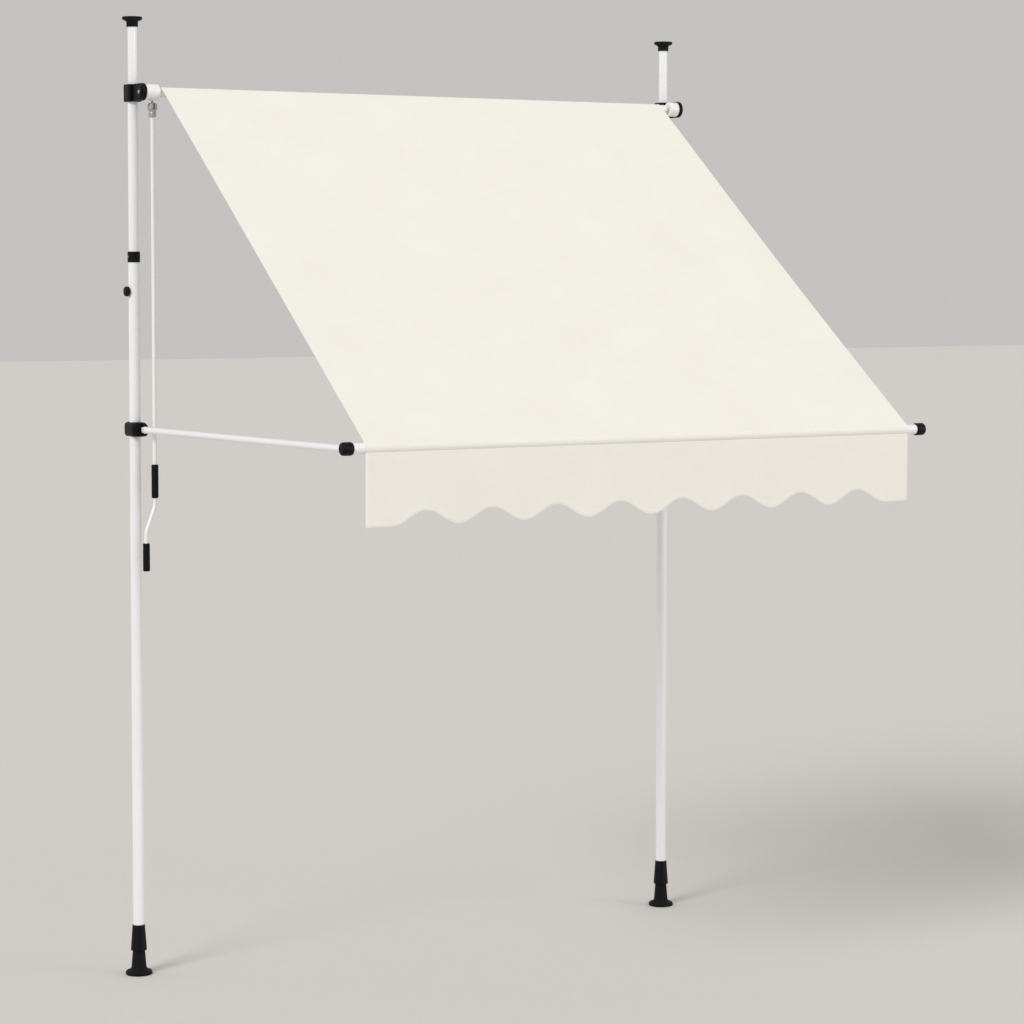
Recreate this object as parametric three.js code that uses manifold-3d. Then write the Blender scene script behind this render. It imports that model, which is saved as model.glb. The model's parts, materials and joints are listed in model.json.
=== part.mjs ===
// Clamp awning: two telescopic poles jammed between floor and ceiling carry a crank-driven
// roller, and a pair of arms hold the front bar of a canopy with a scalloped valance.
// Millimetres, +Z up, front towards -Y, origin on the floor under the middle of the awning.
import * as THREE from 'three';
import * as BufferGeometryUtils from 'three/addons/utils/BufferGeometryUtils.js';
import Module from 'manifold-3d';

const wasm = await Module();
wasm.setup();

// ---- driving dimensions ------------------------------------------------------------------
const HEIGHT = 3000;           // floor to ceiling
const POLE_X = 987;            // pole axis from the middle of the awning
const ROLLER_Y = -82;          // roller axis in front of the pole axes
const ROLLER_Z = 2764.6;
const PIVOT_Y = -55;           // arm pivots in front of the pole axes
const PIVOT_Z = 1721;
const BAR_Y = -1417.3;         // front bar axis
const BAR_Z = 1732.6;
const CLOTH_WIDTH = 1860;
const CLOTH_THICK = 1.2;
const GAP = 0.3;               // running and resting clearance between pieces

// telescopic tubes: outer radius, and the floor-to-end heights of each stage
const WALL = 1.2;
const LOWER_R = 17.5;
const MID_R = LOWER_R - WALL - GAP;
const TOP_R = MID_R - WALL - GAP;
const LOWER_FROM = 116;
const LOWER_TO = 2266;
const MID_FROM = 1950;
const MID_TO = 2790;
const TOP_FROM = 2735;

// feet and ceiling pads
const FOOT_R = 42;
const FOOT_NECK_TOP = 84;
const SLEEVE_FROM = 78;
const SLEEVE_TO = 158;
const SLEEVE_STEP = 96;        // the sleeve's bore narrows here
const SLEEVE_ROOM = 112;       // and ends here, leaving a plate under the lower tube
const SLEEVE_BORE = [21.3, 20];
const JACK_R = 6;
const PAD_R = 31;
const PAD_THICK = 12;
const PAD_NECK_R = 18;
const PAD_FROM = HEIGHT - PAD_THICK - 19;
const PAD_FACE = 7;            // thickness of the pad over the end of the top tube

// collar and lock knob on the lower tube
const COLLAR_R = 19.5;
const COLLAR_FROM = 2241;
const COLLAR_TO = 2274;
const KNOB_Z = 2150.5;
const KNOB_R = 15.3;
const KNOB_THICK = 12.5;
const KNOB_STUD_R = 3;

// roller bracket: block round the pole and a cheek beside the drum
const BRACKET_HALF = 27;
const BRACKET_OUT = 22.5;
const CHEEK_OUT = -10;
const CHEEK_IN = 2.4;
const BOLT_R = 4;
const BOSS_THICK = 4.5;
const HEX = 10;                // bolt heads and nuts, across flats

// roller, drums and gear
const ROLLER_R = 14;
const ROLLER_WALL = 1.2;
const ROLLER_LEFT = -936;
const ROLLER_RIGHT = 938;
const DRUM_R = 24;
const DRUM_WALL = 2.5;
const HOUSING_LENGTH = 46;
const IDLER_LENGTH = 33;
const SPINDLE_R = 5;
const PLUG_LENGTH = 38;        // plugs inside the ends of the roller tube
const WHEEL_TEETH = 14;
const WHEEL_R = [10.4, 8.4];   // tips and roots of the teeth
const WORM_X = -957;
const WORM_R = 5.5;

// crank
const JOINT_Z = 2722;          // tilt pin of the universal joint
const PIN_R = 2.5;
const PIN_HALF = 13.6;
const FORK_FROM = 2688;
const ROD_R = 6.5;
const ROD_TOP = 2700;
const GRIP_UPPER = [1510, 1614];
const GRIP_LOWER = [1284.5, 1371];
const BEND = [1492, 1398];     // the throw starts and ends here
const THROW = [-37, -15];      // sideways step of the handle, in X and Y
const GRIP_R = 11;

// arms and front bar
const ARM_X = 2;               // arm plane inboard of the pole axis
const ARM_R = 10;
const EYE_REACH = 24;          // flattened eye ends here and the round tube begins
const EYE_HALF = 3;
const EYE_R = 8.5;
const PIVOT_BOLT_R = 3;
const BAR_R = 15;
const BAR_WALL = 1.5;
const BARREL_R = 18.7;
const BARREL = [966, 999.5];   // barrel faces from the middle of the awning
const ARM_IN_BARREL = 9;       // depth of the arm's end inside the barrel
const SPIGOT = 26;             // length inside the front bar
const CLAMP_HALF = 22.5;       // arm bracket, half height
const CLAMP_OUT = 25;          // and half width
const LUG_R = 20;
const LUG_THICK = 7;
const CLAMP_SCREW_R = 2.5;

// valance
const VALANCE_SETBACK = 12.3;  // bar axis forward to the back of the cloth
const VALANCE_TOP = 9.4;       // bar axis down to the seam under the bar's pocket
const VALANCE_NOTCH = 175;     // bar axis down to the notches
const VALANCE_LOBE = 216;      // bar axis down to the lobes
const SCALLOP = 212;           // pitch of the scallops
const NOTCHES = 8;

const DEPTH_CENTRE = (FOOT_R + BAR_Y - BARREL_R) / 2;

// ---- materials ---------------------------------------------------------------------------
const finish = (color, roughness, metalness) => () =>
  new THREE.MeshStandardMaterial({ color, roughness, metalness });
const WHITE_PAINT = finish(0xf1f2f4, 0.35, 0.1);
const BLACK_PLASTIC = finish(0x17171a, 0.45, 0);
const WHITE_PLASTIC = finish(0xf0f0ee, 0.4, 0);
const CREAM_PLASTIC = finish(0xe6e1cf, 0.5, 0);
const ZINC = finish(0x9a9ca0, 0.45, 0.8);
const STEEL = finish(0xb8bbbf, 0.35, 0.9);
const RUBBER = finish(0x1b1b1c, 0.8, 0);
const CANVAS = finish(0xf2efe3, 0.9, 0);

// ---- shape helpers -----------------------------------------------------------------------
/** Body of revolution about Z from [radius, height] points, listed upwards on the outside. */
function turned(points, segments = 20) {
  const profile = points.map(([r, z]) => new THREE.Vector2(r, z));
  return new THREE.LatheGeometry(profile, segments).rotateX(Math.PI / 2);
}

/** Plain cylinder about Z. */
const rod = (r, from, to, segments = 20) =>
  turned([[0, from], [r, from], [r, to], [0, to]], segments);

/** Open pipe about Z. */
const pipe = (outer, inner, from, to, segments = 20) =>
  turned([[outer, from], [outer, to], [inner, to], [inner, from], [outer, from]], segments);

/** Turns a body made about Z so that it lies along +X. */
const alongX = (geometry) => geometry.rotateY(Math.PI / 2);

/** Flat outline in X and Y, extruded up from a height. */
function raised(shape, from, depth, bevel = 0, segments = 4) {
  const settings = {
    depth: depth - 2 * bevel, bevelEnabled: bevel > 0, bevelSize: bevel,
    bevelThickness: bevel, bevelOffset: -bevel, bevelSegments: 1, curveSegments: segments,
  };
  return new THREE.ExtrudeGeometry(shape, settings).translate(0, 0, from + bevel);
}

/** Outline given in Y and Z, extruded along X from one face to the other. */
function sideways(shape, from, to, bevel = 0, segments = 10) {
  // shape axes: first -> Y, second -> Z, depth -> X
  const matrix = new THREE.Matrix4().makeBasis(
    new THREE.Vector3(0, 1, 0), new THREE.Vector3(0, 0, 1), new THREE.Vector3(1, 0, 0));
  return raised(shape, from, to - from, bevel, segments).applyMatrix4(matrix);
}

/** Rectangle with four round corners. */
function roundedRect(x0, y0, x1, y1, r) {
  const shape = new THREE.Shape();
  shape.moveTo(x0 + r, y0);
  shape.absarc(x1 - r, y0 + r, r, -Math.PI / 2, 0);
  shape.absarc(x1 - r, y1 - r, r, 0, Math.PI / 2);
  shape.absarc(x0 + r, y1 - r, r, Math.PI / 2, Math.PI);
  shape.absarc(x0 + r, y0 + r, r, Math.PI, Math.PI * 1.5);
  return shape;
}

/** Tongue that starts at a straight edge x0 and ends in a half circle about (cx, cy). */
function tongue(x0, cx, cy, r) {
  const shape = new THREE.Shape();
  const outward = cx < x0;
  shape.moveTo(x0, cy + r);
  shape.absarc(cx, cy, r, Math.PI / 2, outward ? Math.PI * 1.5 : -Math.PI / 2, !outward);
  shape.lineTo(x0, cy - r);
  return shape;
}

/** Regular polygon for bolt heads and nuts. */
function hexagon(acrossFlats) {
  const r = acrossFlats / Math.sqrt(3);
  const corners = Array.from({ length: 6 }, (_, i) => i * Math.PI / 3);
  return new THREE.Shape(corners.map((a) => new THREE.Vector2(r * Math.cos(a), r * Math.sin(a))));
}

/** Solid for cutting and joining. */
function solid(geometry) {
  const bare = geometry.clone();
  bare.deleteAttribute('normal');
  bare.deleteAttribute('uv');
  const merged = BufferGeometryUtils.mergeVertices(bare, 1e-4);
  const vertProperties = new Float32Array(merged.attributes.position.array);
  const triVerts = new Uint32Array(merged.index.array);
  return new wasm.Manifold(new wasm.Mesh({ numProp: 3, vertProperties, triVerts }));
}

/** Geometry of a solid. */
function shell(body) {
  const mesh = body.getMesh();
  const geometry = new THREE.BufferGeometry();
  geometry.setAttribute('position', new THREE.BufferAttribute(mesh.vertProperties, 3));
  geometry.setIndex(new THREE.BufferAttribute(mesh.triVerts, 1));
  geometry.computeVertexNormals();
  return geometry;
}

const joined = (...parts) => parts.map(solid).reduce((a, b) => a.add(b));
const cut = (body, ...tools) => tools.map(solid).reduce((a, b) => a.subtract(b), body);

/** Mirror image across X = 0, with the faces still pointing out. */
function mirrored(geometry) {
  const copy = geometry.index ? geometry.toNonIndexed() : geometry.clone();
  copy.scale(-1, 1, 1);
  const p = copy.attributes.position;
  for (let i = 0; i < p.count; i += 3) {
    for (let k = 0; k < 3; k += 1) {
      const second = p.array[(i + 1) * 3 + k];
      p.array[(i + 1) * 3 + k] = p.array[(i + 2) * 3 + k];
      p.array[(i + 2) * 3 + k] = second;
    }
  }
  copy.computeVertexNormals();
  return copy;
}

const awning = new THREE.Group();
awning.position.y = -DEPTH_CENTRE;

function addPiece(name, geometry, material, parent = awning) {
  const mesh = new THREE.Mesh(geometry, material());
  mesh.name = name;
  parent.add(mesh);
  return mesh;
}

// ---- pole --------------------------------------------------------------------------------
// Pole pieces are made about the pole axis, with +X pointing to the middle of the awning.
const footPlate = () => turned([
  [0, 0], [FOOT_R - 3, 0], [FOOT_R - 0.8, 1.4], [FOOT_R, 5], [FOOT_R - 1.2, 9.5], [FOOT_R - 5, 12.5],
  [30, 14.5], [25, 18], [23, 24], [18.6, FOOT_NECK_TOP], [0, FOOT_NECK_TOP],
]);

/** Tapered hand sleeve on the end of the lower tube, hollow over the foot's neck. */
const footSleeve = () => shell(cut(
  solid(turned([[0, SLEEVE_FROM - 1], [24.2, SLEEVE_FROM - 1], [25.2, SLEEVE_FROM + 1],
    [19.8, SLEEVE_TO - 1.2], [18.8, SLEEVE_TO], [0, SLEEVE_TO]])),
  rod(LOWER_R + GAP, LOWER_FROM - GAP, SLEEVE_TO + 1),
  rod(SLEEVE_BORE[0], SLEEVE_FROM - 2, SLEEVE_STEP),
  rod(SLEEVE_BORE[1], SLEEVE_STEP - 1, SLEEVE_ROOM),
  rod(JACK_R + GAP, SLEEVE_ROOM - 1, LOWER_FROM),
));

/** Jack screw: rises from the foot into the lower tube. */
const footScrew = () => {
  const neckTop = FOOT_NECK_TOP + GAP;
  const points = [[0, neckTop], [JACK_R, neckTop]];
  const from = LOWER_FROM + 8;
  const pitch = 8;
  const turns = 6;
  for (let z = from; z < from + turns * pitch; z += pitch) {
    points.push([JACK_R, z], [JACK_R + 1.2, z + pitch * 0.3], [JACK_R + 1.2, z + pitch * 0.5],
      [JACK_R, z + pitch * 0.8]);
  }
  points.push([JACK_R, from + turns * pitch], [0, from + turns * pitch]);
  return turned(points, 12);
};

const tubeCollar = () => turned([
  [LOWER_R + GAP, COLLAR_FROM], [COLLAR_R - 1, COLLAR_FROM], [COLLAR_R, COLLAR_FROM + 1],
  [COLLAR_R, COLLAR_TO - 1.5], [COLLAR_R - 1.5, COLLAR_TO], [MID_R + GAP, COLLAR_TO],
  [MID_R + GAP, LOWER_TO + GAP], [LOWER_R + GAP, LOWER_TO + GAP], [LOWER_R + GAP, COLLAR_FROM],
]);

/** Lock knob: fluted head outside the tube, boss at the wall, stud through to the inner tube. */
function lockKnob() {
  const flutes = 8;
  const outline = Array.from({ length: flutes * 3 }, (_, i) => {
    const a = i * Math.PI * 2 / (flutes * 3);
    const r = KNOB_R - (i % 3 === 0 ? 1.1 : 0);
    return new THREE.Vector2(r * Math.cos(a), r * Math.sin(a));
  });
  const face = -(LOWER_R + 2.2);
  const head = sideways(new THREE.Shape(outline), face - KNOB_THICK, face, 1.2, 4);
  const boss = alongX(rod(6, -(LOWER_R + 3), -(LOWER_R + GAP), 12));
  const stud = alongX(rod(KNOB_STUD_R, -(LOWER_R + 2), -(MID_R + GAP), 12));
  return shell(joined(head, boss, stud)).translate(0, 0, KNOB_Z);
}

/** Lower tube, with the hole that the knob's stud goes through. */
const lowerTube = () => shell(cut(
  solid(pipe(LOWER_R, LOWER_R - WALL, LOWER_FROM, LOWER_TO)),
  alongX(rod(KNOB_STUD_R + GAP, -(LOWER_R + 2), -(MID_R - 4), 12)).translate(0, 0, KNOB_Z),
));

const ceilingPad = () => shell(cut(
  solid(turned([
    [0, PAD_FROM], [PAD_NECK_R - 1, PAD_FROM], [PAD_NECK_R, PAD_FROM + 1],
    [PAD_NECK_R, HEIGHT - PAD_THICK - 4], [PAD_NECK_R + 3, HEIGHT - PAD_THICK],
    [PAD_R - 2, HEIGHT - 8], [PAD_R, HEIGHT - 6.5], [PAD_R, HEIGHT - 1.5],
    [PAD_R - 1.5, HEIGHT], [0, HEIGHT],
  ])),
  rod(TOP_R + GAP, PAD_FROM - 1, HEIGHT - PAD_FACE),
));

/** Roller bracket: block round the mid tube, cheek with a round end, boss for the axle bolt. */
function rollerBracket() {
  const low = ROLLER_Z - BRACKET_HALF;
  const block = raised(roundedRect(-BRACKET_OUT, -23, BRACKET_OUT, 24, 9), low, 2 * BRACKET_HALF, 1.5);
  const web = raised(roundedRect(CHEEK_OUT - 4, -44, CHEEK_IN, -10, 3), low + 1, 2 * BRACKET_HALF - 2,
    1.5, 2);
  const cheek = sideways(tongue(-8, ROLLER_Y, ROLLER_Z, BRACKET_HALF), CHEEK_OUT, CHEEK_IN, 1.5);
  const bossFace = CHEEK_OUT - BOSS_THICK;
  const boss = alongX(turned([[0, bossFace], [15, bossFace], [17, CHEEK_OUT - 3],
    [17.5, CHEEK_OUT + 1], [0, CHEEK_OUT + 1]])).translate(0, ROLLER_Y, ROLLER_Z);
  return shell(cut(
    joined(block, web, cheek, boss),
    rod(MID_R + GAP, low - 1, low + 2 * BRACKET_HALF + 1),
    alongX(rod(BOLT_R + GAP, CHEEK_OUT - 8, CHEEK_IN + 2, 12)).translate(0, ROLLER_Y, ROLLER_Z),
  ));
}

/** Axle bolt: hex head on the boss, shank through the cheek into the drum. */
function axleBolt() {
  const face = CHEEK_OUT - BOSS_THICK - GAP;
  const head = sideways(hexagon(HEX), face - 4, face, 0.8, 1);
  const shank = alongX(rod(BOLT_R, face - 1, CHEEK_IN + 1.2, 12));
  return shell(joined(head, shank)).translate(0, ROLLER_Y, ROLLER_Z);
}

/** Arm bracket: ring clamp round the lower tube with one flat lug on the inboard side. */
function armBracket() {
  const low = PIVOT_Z - CLAMP_HALF;
  const ring = raised(roundedRect(-CLAMP_OUT, -44, CLAMP_OUT, 36, 16), low, 2 * CLAMP_HALF, 5);
  const lugFrom = ARM_X + EYE_HALF + GAP;
  const lug = sideways(tongue(-30, PIVOT_Y, PIVOT_Z, LUG_R), lugFrom, lugFrom + LUG_THICK, 1.5);
  const eyeRoom = alongX(rod(ARM_R + 4, -40, lugFrom, 20)).translate(0, PIVOT_Y, PIVOT_Z);
  return shell(cut(
    joined(ring, lug),
    rod(LOWER_R + GAP, low - 1, low + 2 * CLAMP_HALF + 1),
    eyeRoom,
    alongX(rod(PIVOT_BOLT_R + GAP, lugFrom - 2, CLAMP_OUT + 15, 12)).translate(0, PIVOT_Y, PIVOT_Z),
    alongX(rod(CLAMP_SCREW_R + GAP, LOWER_R - 2, CLAMP_OUT + 5, 12)).translate(0, 0, PIVOT_Z),
  ));
}

/** Pivot bolt: round head outside the eye, shank through eye and lug, nut inboard. */
function pivotBolt() {
  const eyeFace = ARM_X - EYE_HALF;
  const lugFace = ARM_X + EYE_HALF + GAP + LUG_THICK;
  const head = alongX(turned([[0, eyeFace - GAP - 3.4], [2.6, eyeFace - GAP - 3.2],
    [4.6, eyeFace - GAP - 1.8], [5, eyeFace - GAP], [0, eyeFace - GAP]], 16));
  const shank = alongX(rod(PIVOT_BOLT_R, eyeFace - 1, lugFace + 7, 12));
  const nut = sideways(hexagon(HEX), lugFace + GAP, lugFace + GAP + 5, 0.6, 1);
  return shell(joined(head, shank, nut)).translate(0, PIVOT_Y, PIVOT_Z);
}

/** Clamp screw that closes the arm bracket on the tube, from the inboard face. */
const clampScrew = () => {
  const inner = LOWER_R + GAP + 0.5;
  const head = sideways(hexagon(HEX), CLAMP_OUT + GAP, CLAMP_OUT + GAP + 4, 0.6, 1);
  const shank = alongX(rod(CLAMP_SCREW_R, inner, CLAMP_OUT + 1, 12));
  return shell(joined(head, shank)).translate(0, 0, PIVOT_Z);
};

// ---- arm and front bar -------------------------------------------------------------------
const armRise = BAR_Z - PIVOT_Z;
const armRun = PIVOT_Y - BAR_Y;
const armLength = Math.hypot(armRise, armRun);
const armPitch = Math.atan2(armRise, armRun);
const armEnd = armLength - BARREL_R + ARM_IN_BARREL;

/** Arm: round tube with a flattened eye, made along -Y from the pivot and then pitched. */
function arm() {
  const tube = rod(ARM_R, EYE_REACH, armEnd, 16).rotateX(Math.PI / 2);
  const eye = sideways(tongue(-EYE_REACH - 3, 0, 0, EYE_R), -EYE_HALF, EYE_HALF, 0.6, 10);
  const hole = alongX(rod(PIVOT_BOLT_R + GAP, -EYE_R, EYE_R, 12));
  return shell(cut(joined(tube, eye), hole)).rotateX(-armPitch).translate(ARM_X, PIVOT_Y, PIVOT_Z);
}

/** Barrel on the end of the arm: rounded cylinder with a spigot inside the front bar. */
function barEnd() {
  const outer = POLE_X - BARREL[1];
  const inner = POLE_X - BARREL[0];
  const barrel = alongX(turned([
    [0, outer], [BARREL_R - 5.5, outer], [BARREL_R - 1.8, outer + 2], [BARREL_R, outer + 6.5],
    [BARREL_R, inner - 4], [BARREL_R - 1.2, inner], [0, inner],
  ])).translate(0, BAR_Y, BAR_Z);
  const spigot = alongX(rod(BAR_R - BAR_WALL - GAP, inner - 1, inner + SPIGOT)).translate(0, BAR_Y, BAR_Z);
  const socket = rod(ARM_R + GAP, armEnd - 60, armEnd + GAP, 16)
    .rotateX(Math.PI / 2).rotateX(-armPitch).translate(ARM_X, PIVOT_Y, PIVOT_Z);
  return shell(cut(joined(barrel, spigot), socket));
}

const POLE_PIECES = {
  foot: [footPlate, RUBBER],
  foot_screw: [footScrew, STEEL],
  foot_sleeve: [footSleeve, BLACK_PLASTIC],
  lower_tube: [lowerTube, WHITE_PAINT],
  tube_collar: [tubeCollar, BLACK_PLASTIC],
  lock_knob: [lockKnob, BLACK_PLASTIC],
  mid_tube: [() => pipe(MID_R, MID_R - WALL, MID_FROM, MID_TO), WHITE_PAINT],
  top_tube: [() => pipe(TOP_R, TOP_R - WALL, TOP_FROM, HEIGHT - PAD_FACE - GAP), WHITE_PAINT],
  ceiling_pad: [ceilingPad, RUBBER],
  roller_bracket: [rollerBracket, BLACK_PLASTIC],
  axle_bolt: [axleBolt, STEEL],
  arm_bracket: [armBracket, BLACK_PLASTIC],
  clamp_screw: [clampScrew, STEEL],
  pivot_bolt: [pivotBolt, STEEL],
  arm: [arm, WHITE_PAINT],
  bar_end: [barEnd, BLACK_PLASTIC],
};

for (const side of ['left', 'right']) {
  const pole = new THREE.Group();
  pole.position.x = side === 'left' ? -POLE_X : POLE_X;
  awning.add(pole);
  for (const [piece, [make, material]] of Object.entries(POLE_PIECES)) {
    const geometry = make();
    addPiece(`${side}_${piece}`, side === 'left' ? geometry : mirrored(geometry), material, pole);
  }
}

const barPipe = alongX(pipe(BAR_R, BAR_R - BAR_WALL, -BARREL[0] + GAP, BARREL[0] - GAP));
addPiece('front_bar', barPipe.translate(0, BAR_Y, BAR_Z), WHITE_PAINT);

// ---- roller and gear ---------------------------------------------------------------------
// Roller pieces are made about the roller axis, with X measured from the middle of the awning.
const roller = new THREE.Group();
roller.position.set(0, ROLLER_Y, ROLLER_Z);
awning.add(roller);
const housingLeft = -POLE_X + CHEEK_IN + GAP;
const housingRight = housingLeft + HOUSING_LENGTH;
const idlerRight = POLE_X - CHEEK_IN - GAP;
const idlerLeft = idlerRight - IDLER_LENGTH;

addPiece('roller_tube', alongX(pipe(ROLLER_R, ROLLER_R - ROLLER_WALL, ROLLER_LEFT, ROLLER_RIGHT)),
  WHITE_PAINT, roller);

/** Drum with a rounded rim: points for a turned body between two faces. */
const drumProfile = (from, to) => [
  [0, from], [DRUM_R - 0.8, from], [DRUM_R, from + 0.8], [DRUM_R, to - 2.2],
  [DRUM_R - 2.2, to], [0, to],
];

/** Gear housing: drum with a room for the gears, a spindle hole and a neck for the worm. */
function gearHousing() {
  const drum = alongX(turned(drumProfile(housingLeft, housingRight)));
  const neck = rod(9, -DRUM_R - 2.6, -14, 16).translate(WORM_X, 0, 0);
  const room = alongX(rod(DRUM_R - DRUM_WALL, housingLeft + 4, housingRight - DRUM_WALL));
  const spindle = alongX(rod(SPINDLE_R + GAP, housingRight - 6, housingRight + 2, 16));
  const worm = rod(WORM_R + GAP, -DRUM_R - 6, -10, 16).translate(WORM_X, 0, 0);
  const bolt = alongX(rod(BOLT_R + GAP, housingLeft - 1, housingLeft + 6, 12));
  return shell(cut(joined(drum, neck), room, spindle, worm, bolt));
}
addPiece('gear_housing', gearHousing(), WHITE_PLASTIC, roller);

/** Worm wheel on the drive spindle, which plugs into the roller tube. */
function drivePlug() {
  const toothed = Array.from({ length: WHEEL_TEETH * 4 }, (_, i) => {
    const a = i * Math.PI * 2 / (WHEEL_TEETH * 4);
    const r = WHEEL_R[i % 4 < 2 ? 0 : 1];
    return new THREE.Vector2(r * Math.cos(a), r * Math.sin(a));
  });
  const wheelFrom = WORM_X - 4;
  const wheel = sideways(new THREE.Shape(toothed), wheelFrom, wheelFrom + 8, 0, 1);
  const spindle = alongX(rod(SPINDLE_R, wheelFrom + 4, ROLLER_LEFT + 4, 16));
  const plug = alongX(rod(ROLLER_R - ROLLER_WALL - GAP, ROLLER_LEFT + 2,
    ROLLER_LEFT + 2 + PLUG_LENGTH, 20));
  return shell(joined(wheel, spindle, plug));
}
addPiece('drive_plug', drivePlug(), ZINC, roller);

/** Worm with the eye that the crank hangs from. */
function wormEye() {
  const root = 3.8;
  const pitch = 2.4;
  const threadFrom = -19.4;
  const threadTo = -11.9;
  const points = [[0, -30.6], [2.8, -30.6], [2.8, -27], [4.5, -27], [4.5, threadFrom]];
  for (let z = threadFrom; z < threadTo - 0.3; z += pitch) {
    points.push([root, z], [WORM_R, z + 0.7], [WORM_R, z + 1.4], [root, z + 2.1]);
  }
  points.push([root, threadTo], [0, threadTo]);
  const worm = turned(points, 12);
  const drop = JOINT_Z - ROLLER_Z;
  const tab = raised(roundedRect(-2.5, -6, 2.5, 6, 0.8), drop - 7, -29.5 - (drop - 7), 0.6, 2);
  const hole = alongX(rod(PIN_R + GAP, -6, 6, 12)).translate(0, 0, drop);
  return shell(cut(joined(worm, tab), hole)).translate(WORM_X, 0, 0);
}
addPiece('worm_eye', wormEye(), ZINC, roller);

/** Idler drum on the far end, open towards the roller for its axle. */
function idlerDrum() {
  const flip = drumProfile(-idlerRight, -idlerLeft);
  const drum = alongX(turned(flip)).rotateZ(Math.PI);
  const axle = alongX(rod(SPINDLE_R + GAP, idlerLeft - 2, idlerLeft + 12, 16));
  const bolt = alongX(rod(BOLT_R + GAP, idlerRight - 6, idlerRight + 2, 12));
  return shell(cut(solid(drum), axle, bolt));
}
addPiece('idler_drum', idlerDrum(), WHITE_PLASTIC, roller);

/** Idler plug: cap over the roller tube's end and the axle that turns in the drum. */
function idlerPlug() {
  const inside = rod(ROLLER_R - ROLLER_WALL - GAP, ROLLER_RIGHT - PLUG_LENGTH,
    ROLLER_RIGHT + 1, 20);
  const flange = turned([[0, ROLLER_RIGHT + GAP], [ROLLER_R - 0.4, ROLLER_RIGHT + GAP],
    [ROLLER_R - 0.4, ROLLER_RIGHT + 3], [ROLLER_R - 2, ROLLER_RIGHT + 4.5], [0, ROLLER_RIGHT + 4.5]]);
  const axle = rod(SPINDLE_R, ROLLER_RIGHT + 3, idlerLeft + 10, 16);
  return shell(joined(alongX(inside), alongX(flange), alongX(axle)));
}
addPiece('idler_plug', idlerPlug(), CREAM_PLASTIC, roller);

// ---- crank -------------------------------------------------------------------------------
const crank = new THREE.Group();
crank.position.set(WORM_X, ROLLER_Y, 0);
awning.add(crank);

/** Fork of the universal joint: two ears, a tapered neck and a socket for the rod. */
function jointFork() {
  const body = turned([
    [0, FORK_FROM], [11, FORK_FROM], [12, FORK_FROM + 2], [11.6, JOINT_Z - 16], [14.5, JOINT_Z - 11],
    [14.8, JOINT_Z + 3], [9.5, JOINT_Z + 9.5], [0, JOINT_Z + 9.5],
  ], 16);
  const slot = raised(roundedRect(-3.2, -20, 3.2, 20, 0.5), JOINT_Z - 11, 30, 0, 1);
  const socket = rod(ROD_R + GAP, FORK_FROM - 8, ROD_TOP + GAP, 16);
  const pinHole = alongX(rod(PIN_R + GAP, -20, 20, 12)).translate(0, 0, JOINT_Z);
  return shell(cut(solid(body), slot, socket, pinHole));
}
addPiece('joint_fork', jointFork(), ZINC, crank);
addPiece('joint_pin', alongX(rod(PIN_R, -PIN_HALF, PIN_HALF, 12)).translate(0, 0, JOINT_Z), STEEL,
  crank);

/** Crank rod: straight, then one easy step sideways to the handle. */
function crankRod() {
  const [bendFrom, bendTo] = BEND;
  const straight = rod(ROD_R, bendFrom - 2, ROD_TOP, 16);
  const handle = rod(ROD_R, GRIP_LOWER[0] + 4, bendTo + 2, 16).translate(THROW[0], THROW[1], 0);
  const lead = 14;
  const route = new THREE.CatmullRomCurve3([
    new THREE.Vector3(0, 0, bendFrom + 6),
    new THREE.Vector3(0, 0, bendFrom - lead),
    new THREE.Vector3(THROW[0], THROW[1], bendTo + lead),
    new THREE.Vector3(THROW[0], THROW[1], bendTo - 6),
  ], false, 'centripetal');
  const circle = new THREE.Shape().absarc(0, 0, ROD_R, 0, Math.PI * 2);
  const step = new THREE.ExtrudeGeometry(circle, { steps: 10, curveSegments: 8, extrudePath: route });
  return shell(joined(straight, handle, step));
}
addPiece('crank_rod', crankRod(), WHITE_PAINT, crank);

/** Sleeve that turns freely on the rod. */
const grip = ([from, to], closedEnd) => shell(cut(
  solid(turned([[0, from], [GRIP_R - 1.5, from], [GRIP_R - 0.4, from + 2], [GRIP_R, from + 12],
    [GRIP_R - 0.6, to - 2], [GRIP_R - 2, to], [0, to]], 20)),
  rod(ROD_R + GAP, from + (closedEnd ? 3.5 : -1), to + 1, 16),
));
addPiece('crank_grip_upper', grip(GRIP_UPPER, false), BLACK_PLASTIC, crank);
addPiece('crank_grip_lower', grip(GRIP_LOWER, true).translate(THROW[0], THROW[1], 0),
  BLACK_PLASTIC, crank);

// ---- cloth -------------------------------------------------------------------------------
const clothRun = Math.hypot(BAR_Y - ROLLER_Y, BAR_Z - ROLLER_Z);
const clothPitch = Math.atan2(ROLLER_Z - BAR_Z, ROLLER_Y - BAR_Y);
const canopy = new THREE.BoxGeometry(CLOTH_WIDTH, clothRun, CLOTH_THICK);
canopy.translate(0, -clothRun / 2, BAR_R + GAP + CLOTH_THICK / 2).rotateX(clothPitch);
addPiece('canopy', canopy.translate(0, ROLLER_Y, ROLLER_Z), CANVAS);

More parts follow.
